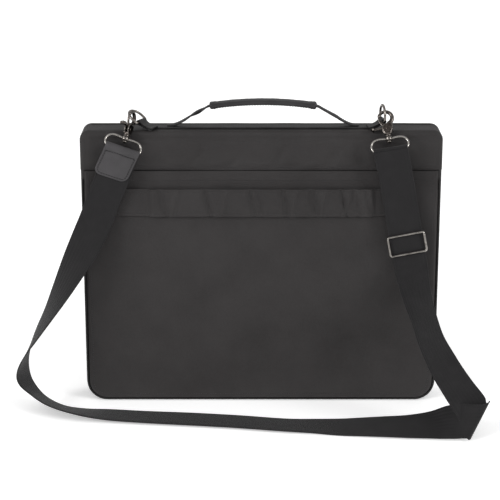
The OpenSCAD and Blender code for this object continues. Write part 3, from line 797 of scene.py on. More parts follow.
def make_spine_cover():
    """The skin over the spine: its face down to the pocket mouth, its rounded edge and its top."""
    grow = 0.4
    tall = CASE_H - SPINE_DOWN
    u, v = spaced(CASE_W, 3, 1) / CASE_W, spaced(tall, 1.6, 1) / tall
    edge_r = 5

    def face_grid(inset):
        return outline_grid(CASE_H - inset - v * (tall - inset), inset, CASE_H, u)

    x, z = face_grid(-grow)
    depth = edge_depth(x, z, -grow, CASE_H)
    bulge = 2.1 * np.clip(depth / 16, 0, 1) + 0.5 * Waves(5, 110)(x, z) * np.clip(depth / 10, 0, 1)
    bulge -= 1.9 * hump(z, GROOVE_Z, 2.6) * np.clip((CASE_W / 2 - 14 - np.abs(x)) / 30, 0, 1)
    for start, end, width, height in SPINE_PUCKERS:
        bulge += crease(x, z, start, end, width, height)
    bulge -= 1.9 * hump(x, DENT_AT[0], 20) * hump(z, DENT_AT[1], 11)
    bulge = bulge * np.clip((z - SPINE_DOWN) / 9, 0.1, 1)
    outer = surface(x, SPINE_FACE - bulge + edge_drop(depth, edge_r), z)
    edge = grid_edge(*x.shape, False)
    far = SPINE_HIGH[1]

    def ring(inset, share):
        gx, gz = face_grid(inset)
        ex, ez = gx.reshape(-1)[edge], gz.reshape(-1)[edge]
        topness = ease(np.clip((ez - (CASE_H - TOP_R)) / 9, 0, 1))
        start = SPINE_FACE + edge_r
        end = start + 1.5 + (far - start - 1.5) * topness
        sag = 0.5 * np.sin(share * math.pi) * topness
        wave = 0.25 * Waves(6, 80)(ex, share * 40) * topness
        return surface(ex, start + (end - start) * share, ez - sag + wave)

    rings = [ring(-grow, s) for s in (0.06, 0.14, 0.25, 0.38, 0.5, 0.62, 0.75, 0.86, 0.95, 1)]
    rings += [ring(COVER_T - grow, s) for s in (1, 0.9, 0.5, 0.1)]
    ix, iz = face_grid(COVER_T - grow)
    fall = edge_drop(edge_depth(ix, iz, COVER_T - grow, CASE_H), edge_r)
    inner = surface(ix, SPINE_FACE + COVER_T + fall, iz)
    piece("spine_skin", *tray(outer, inner, rings, closed=False), CASE_CLOTH, "case", ["spine_cover"])
    line = surface(np.linspace(-CASE_W / 2 + 10, CASE_W / 2 - 10, 90), SPINE_FACE - 0.55, SPINE_DOWN + 3.2)
    sewn("spine_stitches", [stitch_row(line, (0, -1, 0))], "case_fabric", "case")


def make_spine_end(side, s):
    """Folded cloth that closes the end of the spine above the zip."""
    low, high = node_box("spine_gusset_" + side)
    r = TOP_R - 1.0
    path = [(s * (CASE_W / 2 - 1.0), z, s, 0) for z in np.linspace(low[2], CASE_H - TOP_R, 8)]
    path += [(s * (CASE_W / 2 - TOP_R + r * math.cos(a)), CASE_H - TOP_R + r * math.sin(a), s * math.cos(a),
              math.sin(a)) for a in np.radians(np.linspace(8, 74, 9))]
    y0, y1 = low[1] - 1.5, high[1]
    section = [(-0.6, y0)] + [(0.55 + 0.35 * math.sin((t - 0.5) * math.tau), y0 + (y1 - y0) * t)
                              for t in np.linspace(0.04, 0.96, 9)] + [(-0.6, y1)]
    piece("spine_end_" + side, *outline_strip(path, section), CASE_CLOTH, "case", ["spine_gusset_" + side])


POCKET_INSET = CASE_W / 2 - POCKET_HIGH[0]
POCKET_FACE = POCKET_LOW[1]
POCKET_TOP = POCKET_HIGH[2]
POCKET_T = 1.2
HEM = 15


def pocket_lift(x, z):
    """How far the pocket's cloth stands out of its flat plane at a point."""
    away = np.clip((POCKET_HIGH[0] - np.abs(x)) / 26, 0, 1) * np.clip((z - POCKET_INSET) / 26, 0, 1)
    lift = 1.1 * Waves(11, 170)(x, z) * away + 0.45 * Waves(12, 60)(x, z) * away
    lift += 0.45 / (1 + np.exp(-(z - (POCKET_TOP - HEM)) / 0.5))
    lift -= 3.0 * ease(np.clip((z - (POCKET_TOP - 42)) / 42, 0, 1))
    lift += crease(x, z, (-205, 232), (-150, 214), 9, 0.6) + crease(x, z, (206, 205), (170, 226), 8, 0.6)
    lift += crease(x, z, (-214, 40), (-196, 74), 7, 0.7) + crease(x, z, (214, 36), (190, 66), 8, 0.7)
    return lift


def make_pocket():
    """Slip pocket: a thin panel with a hemmed mouth, sewn down round its sides and floor."""
    edge_r = 3.6
    tall = POCKET_TOP - POCKET_INSET
    u, v = spaced(CASE_W, 3.2, 1) / CASE_W, spaced(tall, 3.2, 1) / tall

    def face_grid(inset):
        return outline_grid(inset + v * (POCKET_TOP - inset), inset, 2 * CASE_H, u)

    x, z = face_grid(POCKET_INSET)
    depth = edge_depth(x, z, POCKET_INSET, 2 * CASE_H)
    lift = pocket_lift(x, z)
    outer = surface(x, POCKET_FACE - lift + edge_drop(depth, edge_r), z)
    edge = grid_edge(*x.shape, False)
    rings = []
    for inset, back in ((0, edge_r + 0.9), (-0.25, 5.2), (0.2, 5.55), (POCKET_T, 5.3), (POCKET_T, 3.4)):
        gx, gz = face_grid(POCKET_INSET + inset)
        rings.append(surface(gx, POCKET_FACE + back, gz).reshape(-1, 3)[edge])
    ix, iz = face_grid(POCKET_INSET + POCKET_T)
    fall = edge_drop(edge_depth(ix, iz, POCKET_INSET + POCKET_T, 2 * CASE_H), edge_r - POCKET_T)
    inner = surface(ix, POCKET_FACE + POCKET_T - pocket_lift(ix, iz) + fall, iz)
    points, faces = tray(outer, inner, rings, closed=False)
    pocket = piece("pocket_panel", points, faces, CASE_CLOTH, "case", ["slip_pocket"])
    reach = POCKET_HIGH[0]
    hem = np.linspace(-reach + 8, reach - 8, 90), np.full(90, POCKET_TOP - HEM + 2.2)
    rows = []
    for px, pz in (hem, outline_path(POCKET_INSET + 6.5, POCKET_TOP - 3)[:, :2].T):
        rows.append(stitch_row(surface(px, POCKET_FACE - pocket_lift(px, pz), pz), (0, -1, 0)))
    stitches = sewn("pocket_stitches", rows, "case_fabric", "case")


BAND_SEWN = 44
BAND_FACE = BAND_LOW[1]
BAND_T = 1.2
# Upright wrinkles in the band: place, width and height
BAND_WRINKLES = [(-73, 4, -1.5), (-118, 4, 0.9), (-12, 3.6, -1.3), (-3, 3.2, -1.0), (32, 4.5, -1.4),
                 (45, 4, 0.7), (72, 5, -1.5), (84, 4, 0.9), (112, 2.4, -1.2), (117, 2.4, 0.8),
                 (128, 4.5, -1.2), (-50, 5, 0.6), (-134, 4, -1.2), (146, 3, -0.9)]


def band_y(x, z):
    """Depth of the luggage band's front surface: flat where it is sewn down, bowed out between."""
    free = ease(np.clip((BAND_HIGH[0] - BAND_SEWN - np.abs(x)) / 9, 0, 1))
    middle = (BAND_LOW[2] + BAND_HIGH[2]) / 2
    across = (z - middle) / (BAND_HIGH[2] - BAND_LOW[2])
    y = POCKET_FACE - BAND_T - 0.75 + (BAND_FACE - POCKET_FACE + BAND_T + 0.75) * free
    for place, width, height in BAND_WRINKLES:
        lean = place + 9 * across * math.copysign(1, height)
        y = y - 2.6 * height * hump(x, lean, width) * (1 - 1.2 * across ** 2) * free
    hem = hump(np.abs(across), 0.5, 0.14)
    y = y - 0.35 * hem - 0.5 * Waves(17, 55)(x, z * 0.4) * free
    return y + 0.35 * hump(np.abs(across), 0.40, 0.035)


def make_band():
    """Luggage band with folded edges, box-and-cross stitching at its sewn ends."""
    x0, x1, z0, z1 = BAND_LOW[0], BAND_HIGH[0], BAND_LOW[2], BAND_HIGH[2]
    xs = x0 + spaced(x1 - x0, 2, 0.3)
    zs = z0 + spaced(z1 - z0, 1.6, 0.35)
    x, z = np.meshgrid(xs, zs)
    flutter = 0.5 * Waves(18, 120)(x, z * 0)
    middle = np.stack([x, band_y(x, z) + BAND_T / 2, z + flutter * np.clip((x1 - np.abs(x)) / 60, 0, 1)], -1)
    band = piece("band_panel", *sheet_solid(middle, BAND_T), CASE_CLOTH, "case", ["luggage_band"])

    def on_band(a, b, count):
        pts = [np.array(a) + (np.array(b) - np.array(a)) * t for t in np.linspace(0, 1, count)]
        return [(p[0], float(band_y(p[0], p[1])) + 0.05, p[1]) for p in pts]

    low, high = z0 + 3.4, z1 - 3.4
    rows = [stitch_row(on_band((x0 + 4, z), (x1 - 4, z), 160), (0, -1, 0)) for z in (low, high)]
    for s in (-1, 1):
        outer, inner = s * (x1 - 4), s * (x1 - BAND_SEWN + 6)
        box = [((edge, low), (edge, high)) for edge in (outer, inner)]
        cross = [((outer, low), (inner, high)), ((outer, high), (inner, low))]
        rows += [stitch_row(on_band(a, b, 12), (0, -1, 0), pitch=3) for a, b in box + cross]
    stitches = sewn("band_stitches", rows, "case_fabric", "case")


def make_hinge_flap():
    """Living hinge: the skin that runs from the spine's top over the far edge on to the front cover."""
    far = FRONT_FAR
    drape = [(-9, 0.3), (-5, 0.5), (-2, 0.35), (0, -0.5), (1.0, -2.4), (1.1, -6), (0.9, -11), (0.8, -18),
             (0.8, -22)]
    curve = catmull([(far + y, CASE_H + z) for y, z in drape], 4)
    xs = spaced(CASE_W - 26, 8, 0.5) - (CASE_W - 26) / 2
    middle = np.array([[(x, y, z + 0.12 * math.sin(x * 0.11) * (z < CASE_H - 1)) for x in xs]
                       for y, z in curve])
    flap = piece("hinge_flap", *sheet_solid(middle, 0.9), CASE_CLOTH, None)
    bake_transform(flap)
    line = [(x, far + 1.25, CASE_H - 19.5) for x in np.linspace(xs[0] + 4, xs[-1] - 4, 90)]
    stitches = sewn("hinge_stitches", [stitch_row(line, (0, 1, 0))], "case_fabric", "front_cover")


make_spine_cover()
make_spine_end("left", -1)
make_spine_end("right", 1)
make_pocket()
make_band()
make_hinge_flap()


# ---------------------------------------------------------------- handle and top strip
SWING_Z = CASE_H + 10
ARCH_RISE = 26
ARCH_HALF = 109
KNEE = 0.67
HANDLE_MID = 2.5
STRIP_TOP = CASE_H + 3
GRIP_HALF = 71.5


def arch_z(x):
    """Height of the handle's middle line at a distance from its centre."""
    a = np.abs(x) / ARCH_HALF
    crown = 1 - 0.22 * (a / KNEE) ** 2
    return SWING_Z + ARCH_RISE * np.where(a < KNEE, crown, 0.78 * (1 - (a - KNEE) / (1 - KNEE)))


def rounded_box_section(width, height, corner, steps=3):
    """Points of a rectangle with round corners, across and up."""
    out = []
    for cx, cy, start in ((1, 1, 0), (-1, 1, 90), (-1, -1, 180), (1, -1, 270)):
        for a in np.radians(np.linspace(start, start + 90, steps + 1)):
            out.append((cx * (width / 2 - corner) + corner * math.cos(a),
                        cy * (height / 2 - corner) + corner * math.sin(a)))
    return np.array(out)


def make_spine_strip():
    low, high = node_box("spine_strip")
    xs = np.concatenate([[low[0] - 1.5, low[0] - 0.8, low[0] + 1], np.linspace(low[0] + 6, high[0] - 6, 70),
                         [high[0] - 1, high[0] + 0.8, high[0] + 1.5]])
    lift = 0.25 * np.sin(xs * 0.19) + 0.2 * np.sin(xs * 0.071 + 1)
    path = np.stack([xs, xs * 0, CASE_H + 1.55 + lift * 0.6], 1)
    width = high[1] - low[1]
    section = rounded_box_section(width, 2.6, 1.0)
    sizes = np.array([(0.9, 0.6), (0.98, 0.9)] + [(1, 1)] * (len(xs) - 4) + [(0.98, 0.9), (0.9, 0.6)])
    piece("spine_band", *sweep(path, section, (0, 0, 1), sizes), STRIP_LEATHER, "case", ["spine_strip"])
    rows = []
    for y in (low[1] + 2.2, high[1] - 2.2):
        line = [(x, y, CASE_H + 2.85 + 0.6 * (0.25 * math.sin(x * 0.19) + 0.2 * math.sin(x * 0.071 + 1)))
                for x in np.linspace(low[0] + 3, high[0] - 3, 80)]
        rows.append(stitch_row(line, (0, 0, 1)))
    sewn("spine_band_stitches", rows, "leather", "case")


def make_handle_strap(side):
    """Flat strap that leaves the spine strip, rises and turns a little before it enters the grip."""
    name = "left" if side < 0 else "right"
    run = [130, 126, 120.5, 115, 110.5, 105.5]
    rise = [STRIP_TOP + d for d in (1.0, 1.0, 1.6, 3.4, 5.6)] + [SWING_Z + 1.4]
    run += [99.5, 93, 86, 80, 74, 68, 64, 60]
    rise += [float(arch_z(x)) for x in run[6:]]
    rows = catmull([(HANDLE_MID + side * a, 0, b) for a, b in zip(run, rise)], 5)
    turn_at, turn = (88, 38) if side < 0 else (96, 7)
    out = np.abs(rows[:, 0] - HANDLE_MID)
    angle = np.radians(turn) * hump(out, turn_at, 9)
    section = rounded_box_section(9.6, 2.5, 0.9)
    across, high = frames_along(rows, (0, 0, 1))
    rings = []
    for p, a, b, w, x in zip(rows, across, high, angle, out):
        a2, b2 = a * math.cos(w) + b * math.sin(w), b * math.cos(w) - a * math.sin(w)
        full = min(1.0, 0.55 + (run[0] - x) * 0.25)
        pinch = 1 - 0.22 * abs(math.sin(w))
        rings.append([p + a2 * c[0] * pinch * (0.85 + 0.15 * full) + b2 * c[1] * full for c in section])
    strap = piece("handle_strap_" + name, *loft(rings), HANDLE_LEATHER, None,
                  ["handle_foot_" + name, "handle_strap"])
    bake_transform(strap)
    rows2 = []
    for c in (-3.5, 3.5):
        line, ups = [], []
        for p, a, b, w in zip(rows[3:-12], across[3:-12], high[3:-12], angle[3:-12]):
            a2, b2 = a * math.cos(w) + b * math.sin(w), b * math.cos(w) - a * math.sin(w)
            line.append(p + a2 * c * (1 - 0.22 * abs(math.sin(w))) + b2 * 1.2)
            ups.append(b2)
        rows2.append(stitch_row(line, ups, pitch=3, length=2.2, radius=0.3))
    stitches = sewn("handle_strap_stitches_" + name, rows2, "leather", None)
    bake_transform(stitches)


def make_grip():
    """Padded leather grip: an oval wrap, fuller at its bound ends, with a raised seam underneath."""
    barrel = np.linspace(-GRIP_HALF + 0.4, GRIP_HALF - 0.4, 90)
    xs = np.concatenate([[-GRIP_HALF - 0.6, -GRIP_HALF - 0.3], barrel, [GRIP_HALF + 0.3, GRIP_HALF + 0.6]])
    path = np.stack([HANDLE_MID + xs, xs * 0, arch_z(xs)], 1)
    across, high = frames_along(path, (0, 0, 1))
    angles = np.arange(32) * math.tau / 32
    rings, seam, ups = [], [], []
    bound = []
    for p, a, b in zip(path, across, high):
        away = GRIP_HALF - abs(p[0] - HANDLE_MID)
        end = min(1, max(0.55, 0.8 + away * 0.28))
        full = 1 + 0.2 * hump(away, 0, 9) - 0.1 * hump(away, 9.5, 1.3)
        wide, tall = 9.6 * end * (1 + 0.03 * math.sin(p[0] * 0.12)), 4.2 * end * full
        ring = []
        for t in angles:
            c, s = math.cos(t), math.sin(t)
            r = (abs(c) ** 2.3 + abs(s) ** 2.3) ** (-1 / 2.3)
            crumple = 1 + 0.012 * math.sin(p[0] * 0.9 + 3 * t) + 0.014 * math.sin(p[0] * 0.33 - 2 * t)
            ridge = 0.5 * hump(t, 1.5 * math.pi, 0.09)
            ring.append(p + a * wide * r * c * crumple + b * (tall * r * s * crumple - ridge))
        rings.append(ring)
        if away > 3:
            seam.append(p - b * (tall + 0.35) + a * 2.0)
            ups.append(-b)
        if abs(away - 6.2) < 1.0:
            bound.append((p, a, b, wide, tall))
    grip = piece("grip_wrap", *loft(rings), HANDLE_LEATHER, "handle", ["handle_grip", "handle_strap"])
    rows = [stitch_row(seam, ups, pitch=3.6)]
    for p, a, b, wide, tall in bound:
        line, out = [], []
        for t in np.linspace(0.05, math.pi * 2 - 0.05, 60):
            c, s = math.cos(t), math.sin(t)
            r = (abs(c) ** 2.3 + abs(s) ** 2.3) ** (-1 / 2.3)
            line.append(p + a * wide * r * c + b * tall * r * s)
            out.append(unit_rows(a * c / wide + b * s / tall))
        rows.append(stitch_row(line, out, pitch=2.8, length=2))
    sewn("grip_stitches", rows, "leather", "handle")


def make_ring_loop(name, tail):
    """Strap end that rises from the spine, turns round a D-ring's straight side and comes back."""
    center, axis = joint_axis("ring_" + name)
    axis = axis * math.copysign(1, axis[1])
    ahead = unit_rows(np.cross(axis, (0, 0, 1)) * -tail)
    base = CASE_H + 1.0 - center[2]
    turn = [(2.75 * math.sin(a), 2.75 * math.cos(a)) for a in np.radians((-28, 10, 45, 80, 115, 150, 185))]
    flat = [(-21, base + 2.7), (-16, base + 3.1), (-11, base + 4.9), (-6, base * 0.35 + 1.2)] + turn
    flat += [(-5, -base * -0.42 - 0.6), (-10, base + 2.6), (-15, base + 1.0), (-19, base + 0.5)]
    curve = catmull(flat, 4)
    path = np.array([center + ahead * a + np.array((0, 0, 1)) * b for a, b in curve])
    section = rounded_box_section(16.5, 1.7, 0.6)
    rings = [[p + axis * a + np.cross(axis, d) * b for a, b in section]
             for p, d in zip(path, unit_rows(np.gradient(path, axis=0)))]
    piece("ring_strap_" + name, *loft(rings), STRIP_LEATHER, "case", ["ring_loop_" + name])


make_spine_strip()
make_handle_strap(-1)
make_handle_strap(1)
make_grip()
make_ring_loop("left", 1)
make_ring_loop("right", -1)


# ---------------------------------------------------------------- hooks and wire loops
HOOK_LEAN = math.radians(-35)
RIGHT_ROLL, LEFT_ROLL, LEFT_TURN = math.radians(-9), math.radians(17), math.radians(62)
LEFT_LOOP_TIP = math.radians(4)
CLAW_Z, RIVET_Z, BAR_Z = 28.5, 12.5, -17.5
CLAW_R = 8.9


def hook_frame(side, turn=0.0):
    """Matrix from a hook's own axes to the row frame, in millimetres: local Z runs along the hook."""
    center, _ = joint_axis("hook_" + side)
    roll = RIGHT_ROLL if side == "right" else LEFT_ROLL
    spin = Matrix.Rotation(roll, 4, "Y") @ Matrix.Rotation(HOOK_LEAN, 4, "X") @ Matrix.Rotation(turn, 4, "Z")
    return Matrix.Translation(center) @ spin


def hook_body_shape():
    """Trigger-snap body: swivel post with turned beads, a forked teardrop cheek and a tapering claw."""
    post = lathe([(1.6, -7.3), (2.9, -7.1), (3.3, -6.5), (3.3, -5.6), (2.6, -5.0), (1.95, -4.6),
                  (1.95, 1.2), (2.9, 1.35), (4.0, 1.9), (4.1, 2.9), (3.3, 3.5), (3.2, 4.1), (3.9, 4.7),
                  (3.9, 5.7), (3.2, 6.5), (2.2, 8.0)])
    cheek = closed_curve([(-3.1, 4.6), (-4.9, 7.0), (-6.7, 10.6), (-6.8, 14.2), (-5.2, 17.8), (-1.8, 19.8),
                          (2.4, 20.6), (5.4, 21.4), (7.5, 19.4), (7.9, 15.2), (7.0, 10.6), (5.0, 7.0),
                          (3.1, 4.6)], 3)
    web = closed_curve([(3.3, 6.6), (5.3, 9.2), (7.2, 12.6), (7.8, 16.6), (7.4, 20.2), (6, 22.4), (3.7, 21.6),
                        (3.4, 16), (3.2, 11)], 3)
    neck = closed_curve([(-2.9, 4.2), (-3.6, 7.8), (3.6, 7.8), (2.9, 4.2)], 3)
    claw = arc_points(CLAW_Z, CLAW_R, -66, 157, 40)
    size = np.interp(np.linspace(0, 1, 40), (0, 0.15, 0.55, 0.9, 1), (3.1, 2.9, 2.55, 2.1, 2.3))
    parts = [post, plate(cheek, 1.5, 3.6, 0.8), plate(cheek, -3.6, -1.5, 0.8), plate(web, -2.9, 2.9),
             plate(neck, -3.2, 3.2), tube_between(claw, 0, 16, size)]
    return fused("hook_body_shape", parts, 0.36, 5)


def hook_gate_shape():
    """Spring gate: an arm that closes the claw, the boss on the rivet and a curved thumb lever."""
    arm = [(0.6, RIVET_Z + 1.9), (-2.4, RIVET_Z + 1.5), (-5.6, 16.6), (-7.8, 20.4), (-9.9, 25.0),
           (-10.4, 29.4), (-9.5, 31.0), (-7.9, 30.5), (-7.4, 27.6), (-5.6, 23.6), (-3.4, 20.2), (-1.6, 17.6),
           (0.8, 15.8)]
    lever = catmull([(-1.5, 0, 14.0), (-5.6, 0, 14.2), (-9.5, 0, 14.2), (-13.5, 0, 13.9), (-17, 0, 13.5),
                     (-20, 0, 13.9)], 5)
    size = np.interp(np.linspace(0, 1, len(lever)), (0, 0.3, 0.75, 1), (1.3, 1.4, 1.75, 2.0))
    tip = tube_between([(-19.0, -2.8, 13.5), (-19.6, 0, 13.8), (-19.0, 2.8, 13.5)], 2.1, 12)
    boss = across_hook(lathe([(2.3, -1.1), (2.55, -0.9), (2.55, 0.9), (2.3, 1.1)]))
    parts = [plate(closed_curve(arm, 3), -1.1, 1.1, 0.35), tube_between(lever, 0, 12, size), tip, boss]
    return fused("hook_gate_shape", parts, 0.32, 4)


def wire_loop_shape():
    """Bail of round wire with drooping shoulders, its ends set into a barrel collar."""
    right = [(3.6, 0, -1.6), (8, 0, -1.2), (12.5, 0, -1.0), (17, 0, -1.5), (20.8, 0, -3.2), (23.6, 0, -6.2),
             (24.9, 0, -9.8), (24.7, 0, -13.2), (23.1, 0, -16.2), (20.2, 0, BAR_Z), (14, 0, BAR_Z)]
    left = [(-x, y, z) for x, y, z in right[::-1]]
    wire = tube_between(catmull(right + [(0, 0, BAR_Z)] + left, 5), 1.45, 16)
    collar = ring_lathe([(2.08, -4.3), (3.6, -4.5), (4.5, -4.0), (4.95, -3.0), (4.95, -0.8), (4.5, 0.4),
                         (3.6, 1.0), (2.08, 0.9)])
    return join([wire, collar])


def rivet_shape():
    """Rivet with a low dome on each end, across the hook."""
    dome = [(0.7, -4.4), (1.6, -4.2), (2.2, -3.8), (2.4, -3.5), (1.55, -3.4)]
    return across_hook(lathe(dome + [(r, -z) for r, z in dome[::-1]]))


RING_SIDE, RING_CORNER, RING_LIMB = 9, 4, 4
RING_WIRE_R = 1.7
RING_RISE = {"left": (-math.cos(math.radians(35)), 0, math.sin(math.radians(35))), "right": (0, 0, 1)}


def make_d_ring(side):
    """D-ring of stout wire: a straight side that lies in its strap loop, two round corners and a bow."""
    center, axis = joint_axis("ring_" + side)
    up = unit_rows(np.cross(np.cross(axis, RING_RISE[side]), axis))
    half, base = RING_SIDE + RING_CORNER, RING_CORNER + RING_LIMB
    corner = [(RING_SIDE + RING_CORNER * math.sin(a), RING_CORNER - RING_CORNER * math.cos(a))
              for a in np.radians((0, 30, 60, 90))]
    bow = [(half * math.cos(a), base + half * math.sin(a)) for a in np.radians(np.linspace(0, 180, 31))]
    flat = corner + bow + [(-a, b) for a, b in corner[::-1]]
    path = [center + axis * a + up * b for a, b in flat]
    side_wire = [center + axis * a for a in np.linspace(-RING_SIDE, RING_SIDE, 5)]
    points, faces = join([tube_between(catmull(path, 3), RING_WIRE_R, 14), tube_between(side_wire, 1.5, 14)])
    piece("ring_wire_" + side, points, faces, NICKEL, "ring_" + side, ["d_ring_" + side])


def make_hooks():
    """Both snap hooks with their wire loops, and the D-rings that they hold; returns what is on the strap."""
    body, gate, bail, rivet = hook_body_shape(), hook_gate_shape(), wire_loop_shape(), rivet_shape()
    on_strap = []
    for side in ("right", "left"):
        turned = hook_frame(side, LEFT_TURN if side == "left" else 0.0)
        for name, (points, faces), rider, node in (("snap_body_", body, "hook_", "hook_body_"),
                                                   ("snap_gate_", gate, "gate_", "hook_gate_"),
                                                   ("rivet_", rivet, "hook_", "hook_rivet_")):
            on_strap.append(piece(name + side, placed(points, turned), faces, NICKEL, rider + side,
                                  [node + side]))
        tip = Matrix.Rotation(LEFT_LOOP_TIP if side == "left" else 0, 4, "Y")
        points = placed(bail[0], hook_frame(side) @ tip)
        on_strap.append(piece("bail_" + side, points, bail[1], BRIGHT_NICKEL, "case", ["wire_loop_" + side]))
        make_d_ring(side)
    return on_strap


HOOK_PIECES = make_hooks()


# ---------------------------------------------------------------- leather tab
TAB_LEAN, TAB_ROLL = math.radians(9.6), math.radians(19)
TAB_W, TAB_LEAF, TAB_CORNER, TAB_T = 46, 44, 9, 1.9
TAB_INSET, TAB_SKEW, TAB_CROSS_Z = 2.7, 0.1, -7.2


def tab_frame():
    to_bar = Matrix.Translation(Vector((0, 0, BAR_Z)))
    hang = Matrix.Rotation(TAB_LEAN - HOOK_LEAN, 4, "X")
    level = Matrix.Rotation(TAB_ROLL - LEFT_ROLL, 4, "Y")
    skew = Matrix.Identity(4)
    skew[0][2] = TAB_SKEW
    return hook_frame("left") @ to_bar @ hang @ level @ skew


def make_tab():
    """Leather folded over the bar and sewn through, with the strap's end between its two leaves."""
    half_gap = 1.05 + TAB_T / 2
    leaf = [(-half_gap, -TAB_LEAF), (-half_gap - 0.1, -34), (-half_gap - 0.35, -24), (-half_gap - 0.15, -15),
            (-half_gap - 0.05, -9.5), (-half_gap - 0.55, -6), (-3.15, -2.6)]
    over = [(-3.3 * math.cos(a), 3.3 * math.sin(a)) for a in np.radians((22, 56, 90, 124, 158))]
    back = [(-y, z) for y, z in leaf[::-1]]
    curve = catmull(leaf + over + back, 5)
    run = run_along(curve)
    fine = np.concatenate([TAB_CORNER * (1 - np.cos(np.radians(np.linspace(0, 90, 12))))[:-1],
                           np.linspace(TAB_CORNER, run[-1] - TAB_CORNER, 110),
                           run[-1] - TAB_CORNER * (1 - np.cos(np.radians(np.linspace(0, 90, 12))))[-2::-1]])
    ys, zs = np.interp(fine, run, curve[:, 0]), np.interp(fine, run, curve[:, 1])
    near_end = np.clip(TAB_CORNER - np.minimum(fine, run[-1] - fine), 0, TAB_CORNER)
    half = TAB_W / 2 - TAB_CORNER + np.sqrt(TAB_CORNER ** 2 - near_end ** 2)
    u = np.concatenate([[-1, -0.98], np.linspace(-0.955, 0.955, 56), [0.98, 1]])
    x = np.multiply.outer(half, u)
    curl = 0.35 * (x / 25) ** 2 * np.clip(-zs / 20, 0, 1)[:, None]
    edge = np.minimum(half[:, None] - np.abs(x), np.minimum(fine, run[-1] - fine)[:, None])
    groove = 0.3 * hump(edge, TAB_INSET, 0.8) + 0.35 * hump(zs[:, None], TAB_CROSS_Z, 0.9)
    sign = np.where(ys[:, None] < 0, 1, -1)
    middle = np.stack([x, ys[:, None] + curl + sign * groove, np.broadcast_to(zs[:, None], x.shape)], -1)
    points, faces = sheet_solid(middle, TAB_T, 0.3)
    m = tab_frame()
    tab = piece("strap_tab", placed(points, m), faces, LEATHER, "case", ["leather_tab"])

    def on_face(px, pz, curled, wander=0.0):
        order = slice(0, len(zs) // 2)
        y = float(np.interp(pz, zs[order], ys[order])) - TAB_T / 2 - 0.05
        return px, y + 0.35 * (px / 25) ** 2 * curled, pz - wander

    low = -TAB_LEAF + TAB_INSET
    corner = TAB_CORNER - TAB_INSET
    side_x = TAB_W / 2 - TAB_INSET
    outline = [(side_x, -7)] + [(side_x, z) for z in np.linspace(-12, low + corner, 8)]
    outline += [(side_x - corner + corner * math.cos(a), low + corner - corner * math.sin(a))
                for a in np.radians(np.linspace(10, 90, 7))]
    outline += [(-x, z) for x, z in outline[::-1]]
    around = [on_face(px, pz, min(1, -pz / 20)) for px, pz in outline]
    cross = [on_face(px, TAB_CROSS_Z, 0.35, 0.4 * math.sin(px * 0.2))
             for px in np.linspace(-side_x, side_x, 20)]
    points, faces = join([stitch_row(line, (0, -1, 0), pitch=3.6, length=length, radius=radius, sink=-0.1)
                          for line, length, radius in ((around, 2.5, 0.45), (cross, 2.6, 0.48))])
    stitches = piece("tab_stitches", placed(points, m), faces, DARK_THREAD, "case", slot="leather")
    return tab, stitches


TAB, TAB_STITCHES = make_tab()


# ---------------------------------------------------------------- shoulder strap
STRAP_W, STRAP_T = 46, 1.6
# Middle of the webbing from the tab, over the ground and up to the right loop, then the direction across it
ROUTE = [
    [-192.3, -39.2, 348.5, -94, 0, 33], [-200.5, -36, 327.5, -92, 0, 38], [-212, -34, 300, -92, 0, 38],
    [-224, -34, 268, -91, 10, 38], [-240, -38, 234, -86, 36, 36], [-257, -42, 202, -70, 64, 30],
    [-274, -45, 170, -50, 84, 22], [-292, -47, 137, -28, 95, 10], [-309, -48, 108, -12, 99, 4],
    [-322, -48, 84, 6, 99, 0], [-330, -46, 60, 20, 97, -8], [-328, -45, 38, 28, 93, -24],
    [-312, -50, 20, 34, 86, -38], [-285, -68, 11, 38, 85, -34], [-251, -80, 7, 34, 90, -22],
    [-210, -85, 4, 20, 97, -8], [-160, -91, 3, 12, 99, -5], [-100, -98, 3, 11, 99, -3],
    [-35, -107, 3, 10, 99, -3], [30, -119, 3, 10, 99, -3], [70, -123, 3, 9, 99, 2],
    [105, -129, 4, 8, 98, 10], [135, -133, 6, 6, 98, 16], [166, -137, 8, 4, 97, 23],
    [198, -141, 10, 3, 95, 32], [228, -145, 14, 3, 87, 49], [248, -153, 21, 3, 64, 77],
    [263, -162, 26, 8, 30, 95], [275, -165, 27, 24, 18, 95], [286, -165, 27, 45, 22, 87],
    [290, -161, 28, 45, 22, 87], [286, -157, 31, 48, 26, 84], [275, -152, 48, 66, 40, 60],
    [261, -146, 67, 74, 50, 44], [244, -134, 92, 70, 60, 38], [229, -112, 118, 58, 74, 26],
    [219, -84, 147, 60, 76, 22], [211, -58, 173, 78, 54, 22], [206, -42, 196, 95, 14, 22],
    [202.7, -38.1, 213, 98, 0, 19], [198.9, -38.1, 233, 98, 0, 19], [194, -38.1, 260, 98, 0, 19],
    [185.3, -38.1, 308, 98, 0, 19], [179.8, -40, 335, 98, 0, 19], [175, -43.2, 357.5, 98, 0, 16],
    [172.9, -44.7, 367.3, 98, 0, 16]
]
# Second layer, folded round the right loop's bar and down behind the first
BACK_LAYER = [
    [172.9, -44.7, 367.5, 98, 0, 16], [172.6, -43.9, 369.4, 98, 0, 16], [172.5, -42, 370.2, 98, 0, 16],
    [172.6, -40.1, 369.4, 98, 0, 16], [172.9, -39.3, 367.5, 98, 0, 16], [174.8, -38.4, 356, 98, 0, 17],
    [179.6, -36.2, 337, 98, 0, 19], [187, -33.4, 301, 98, 0, 19], [194, -33.4, 260, 98, 0, 19],
    [201.8, -33.6, 222, 98, 0, 19]
]


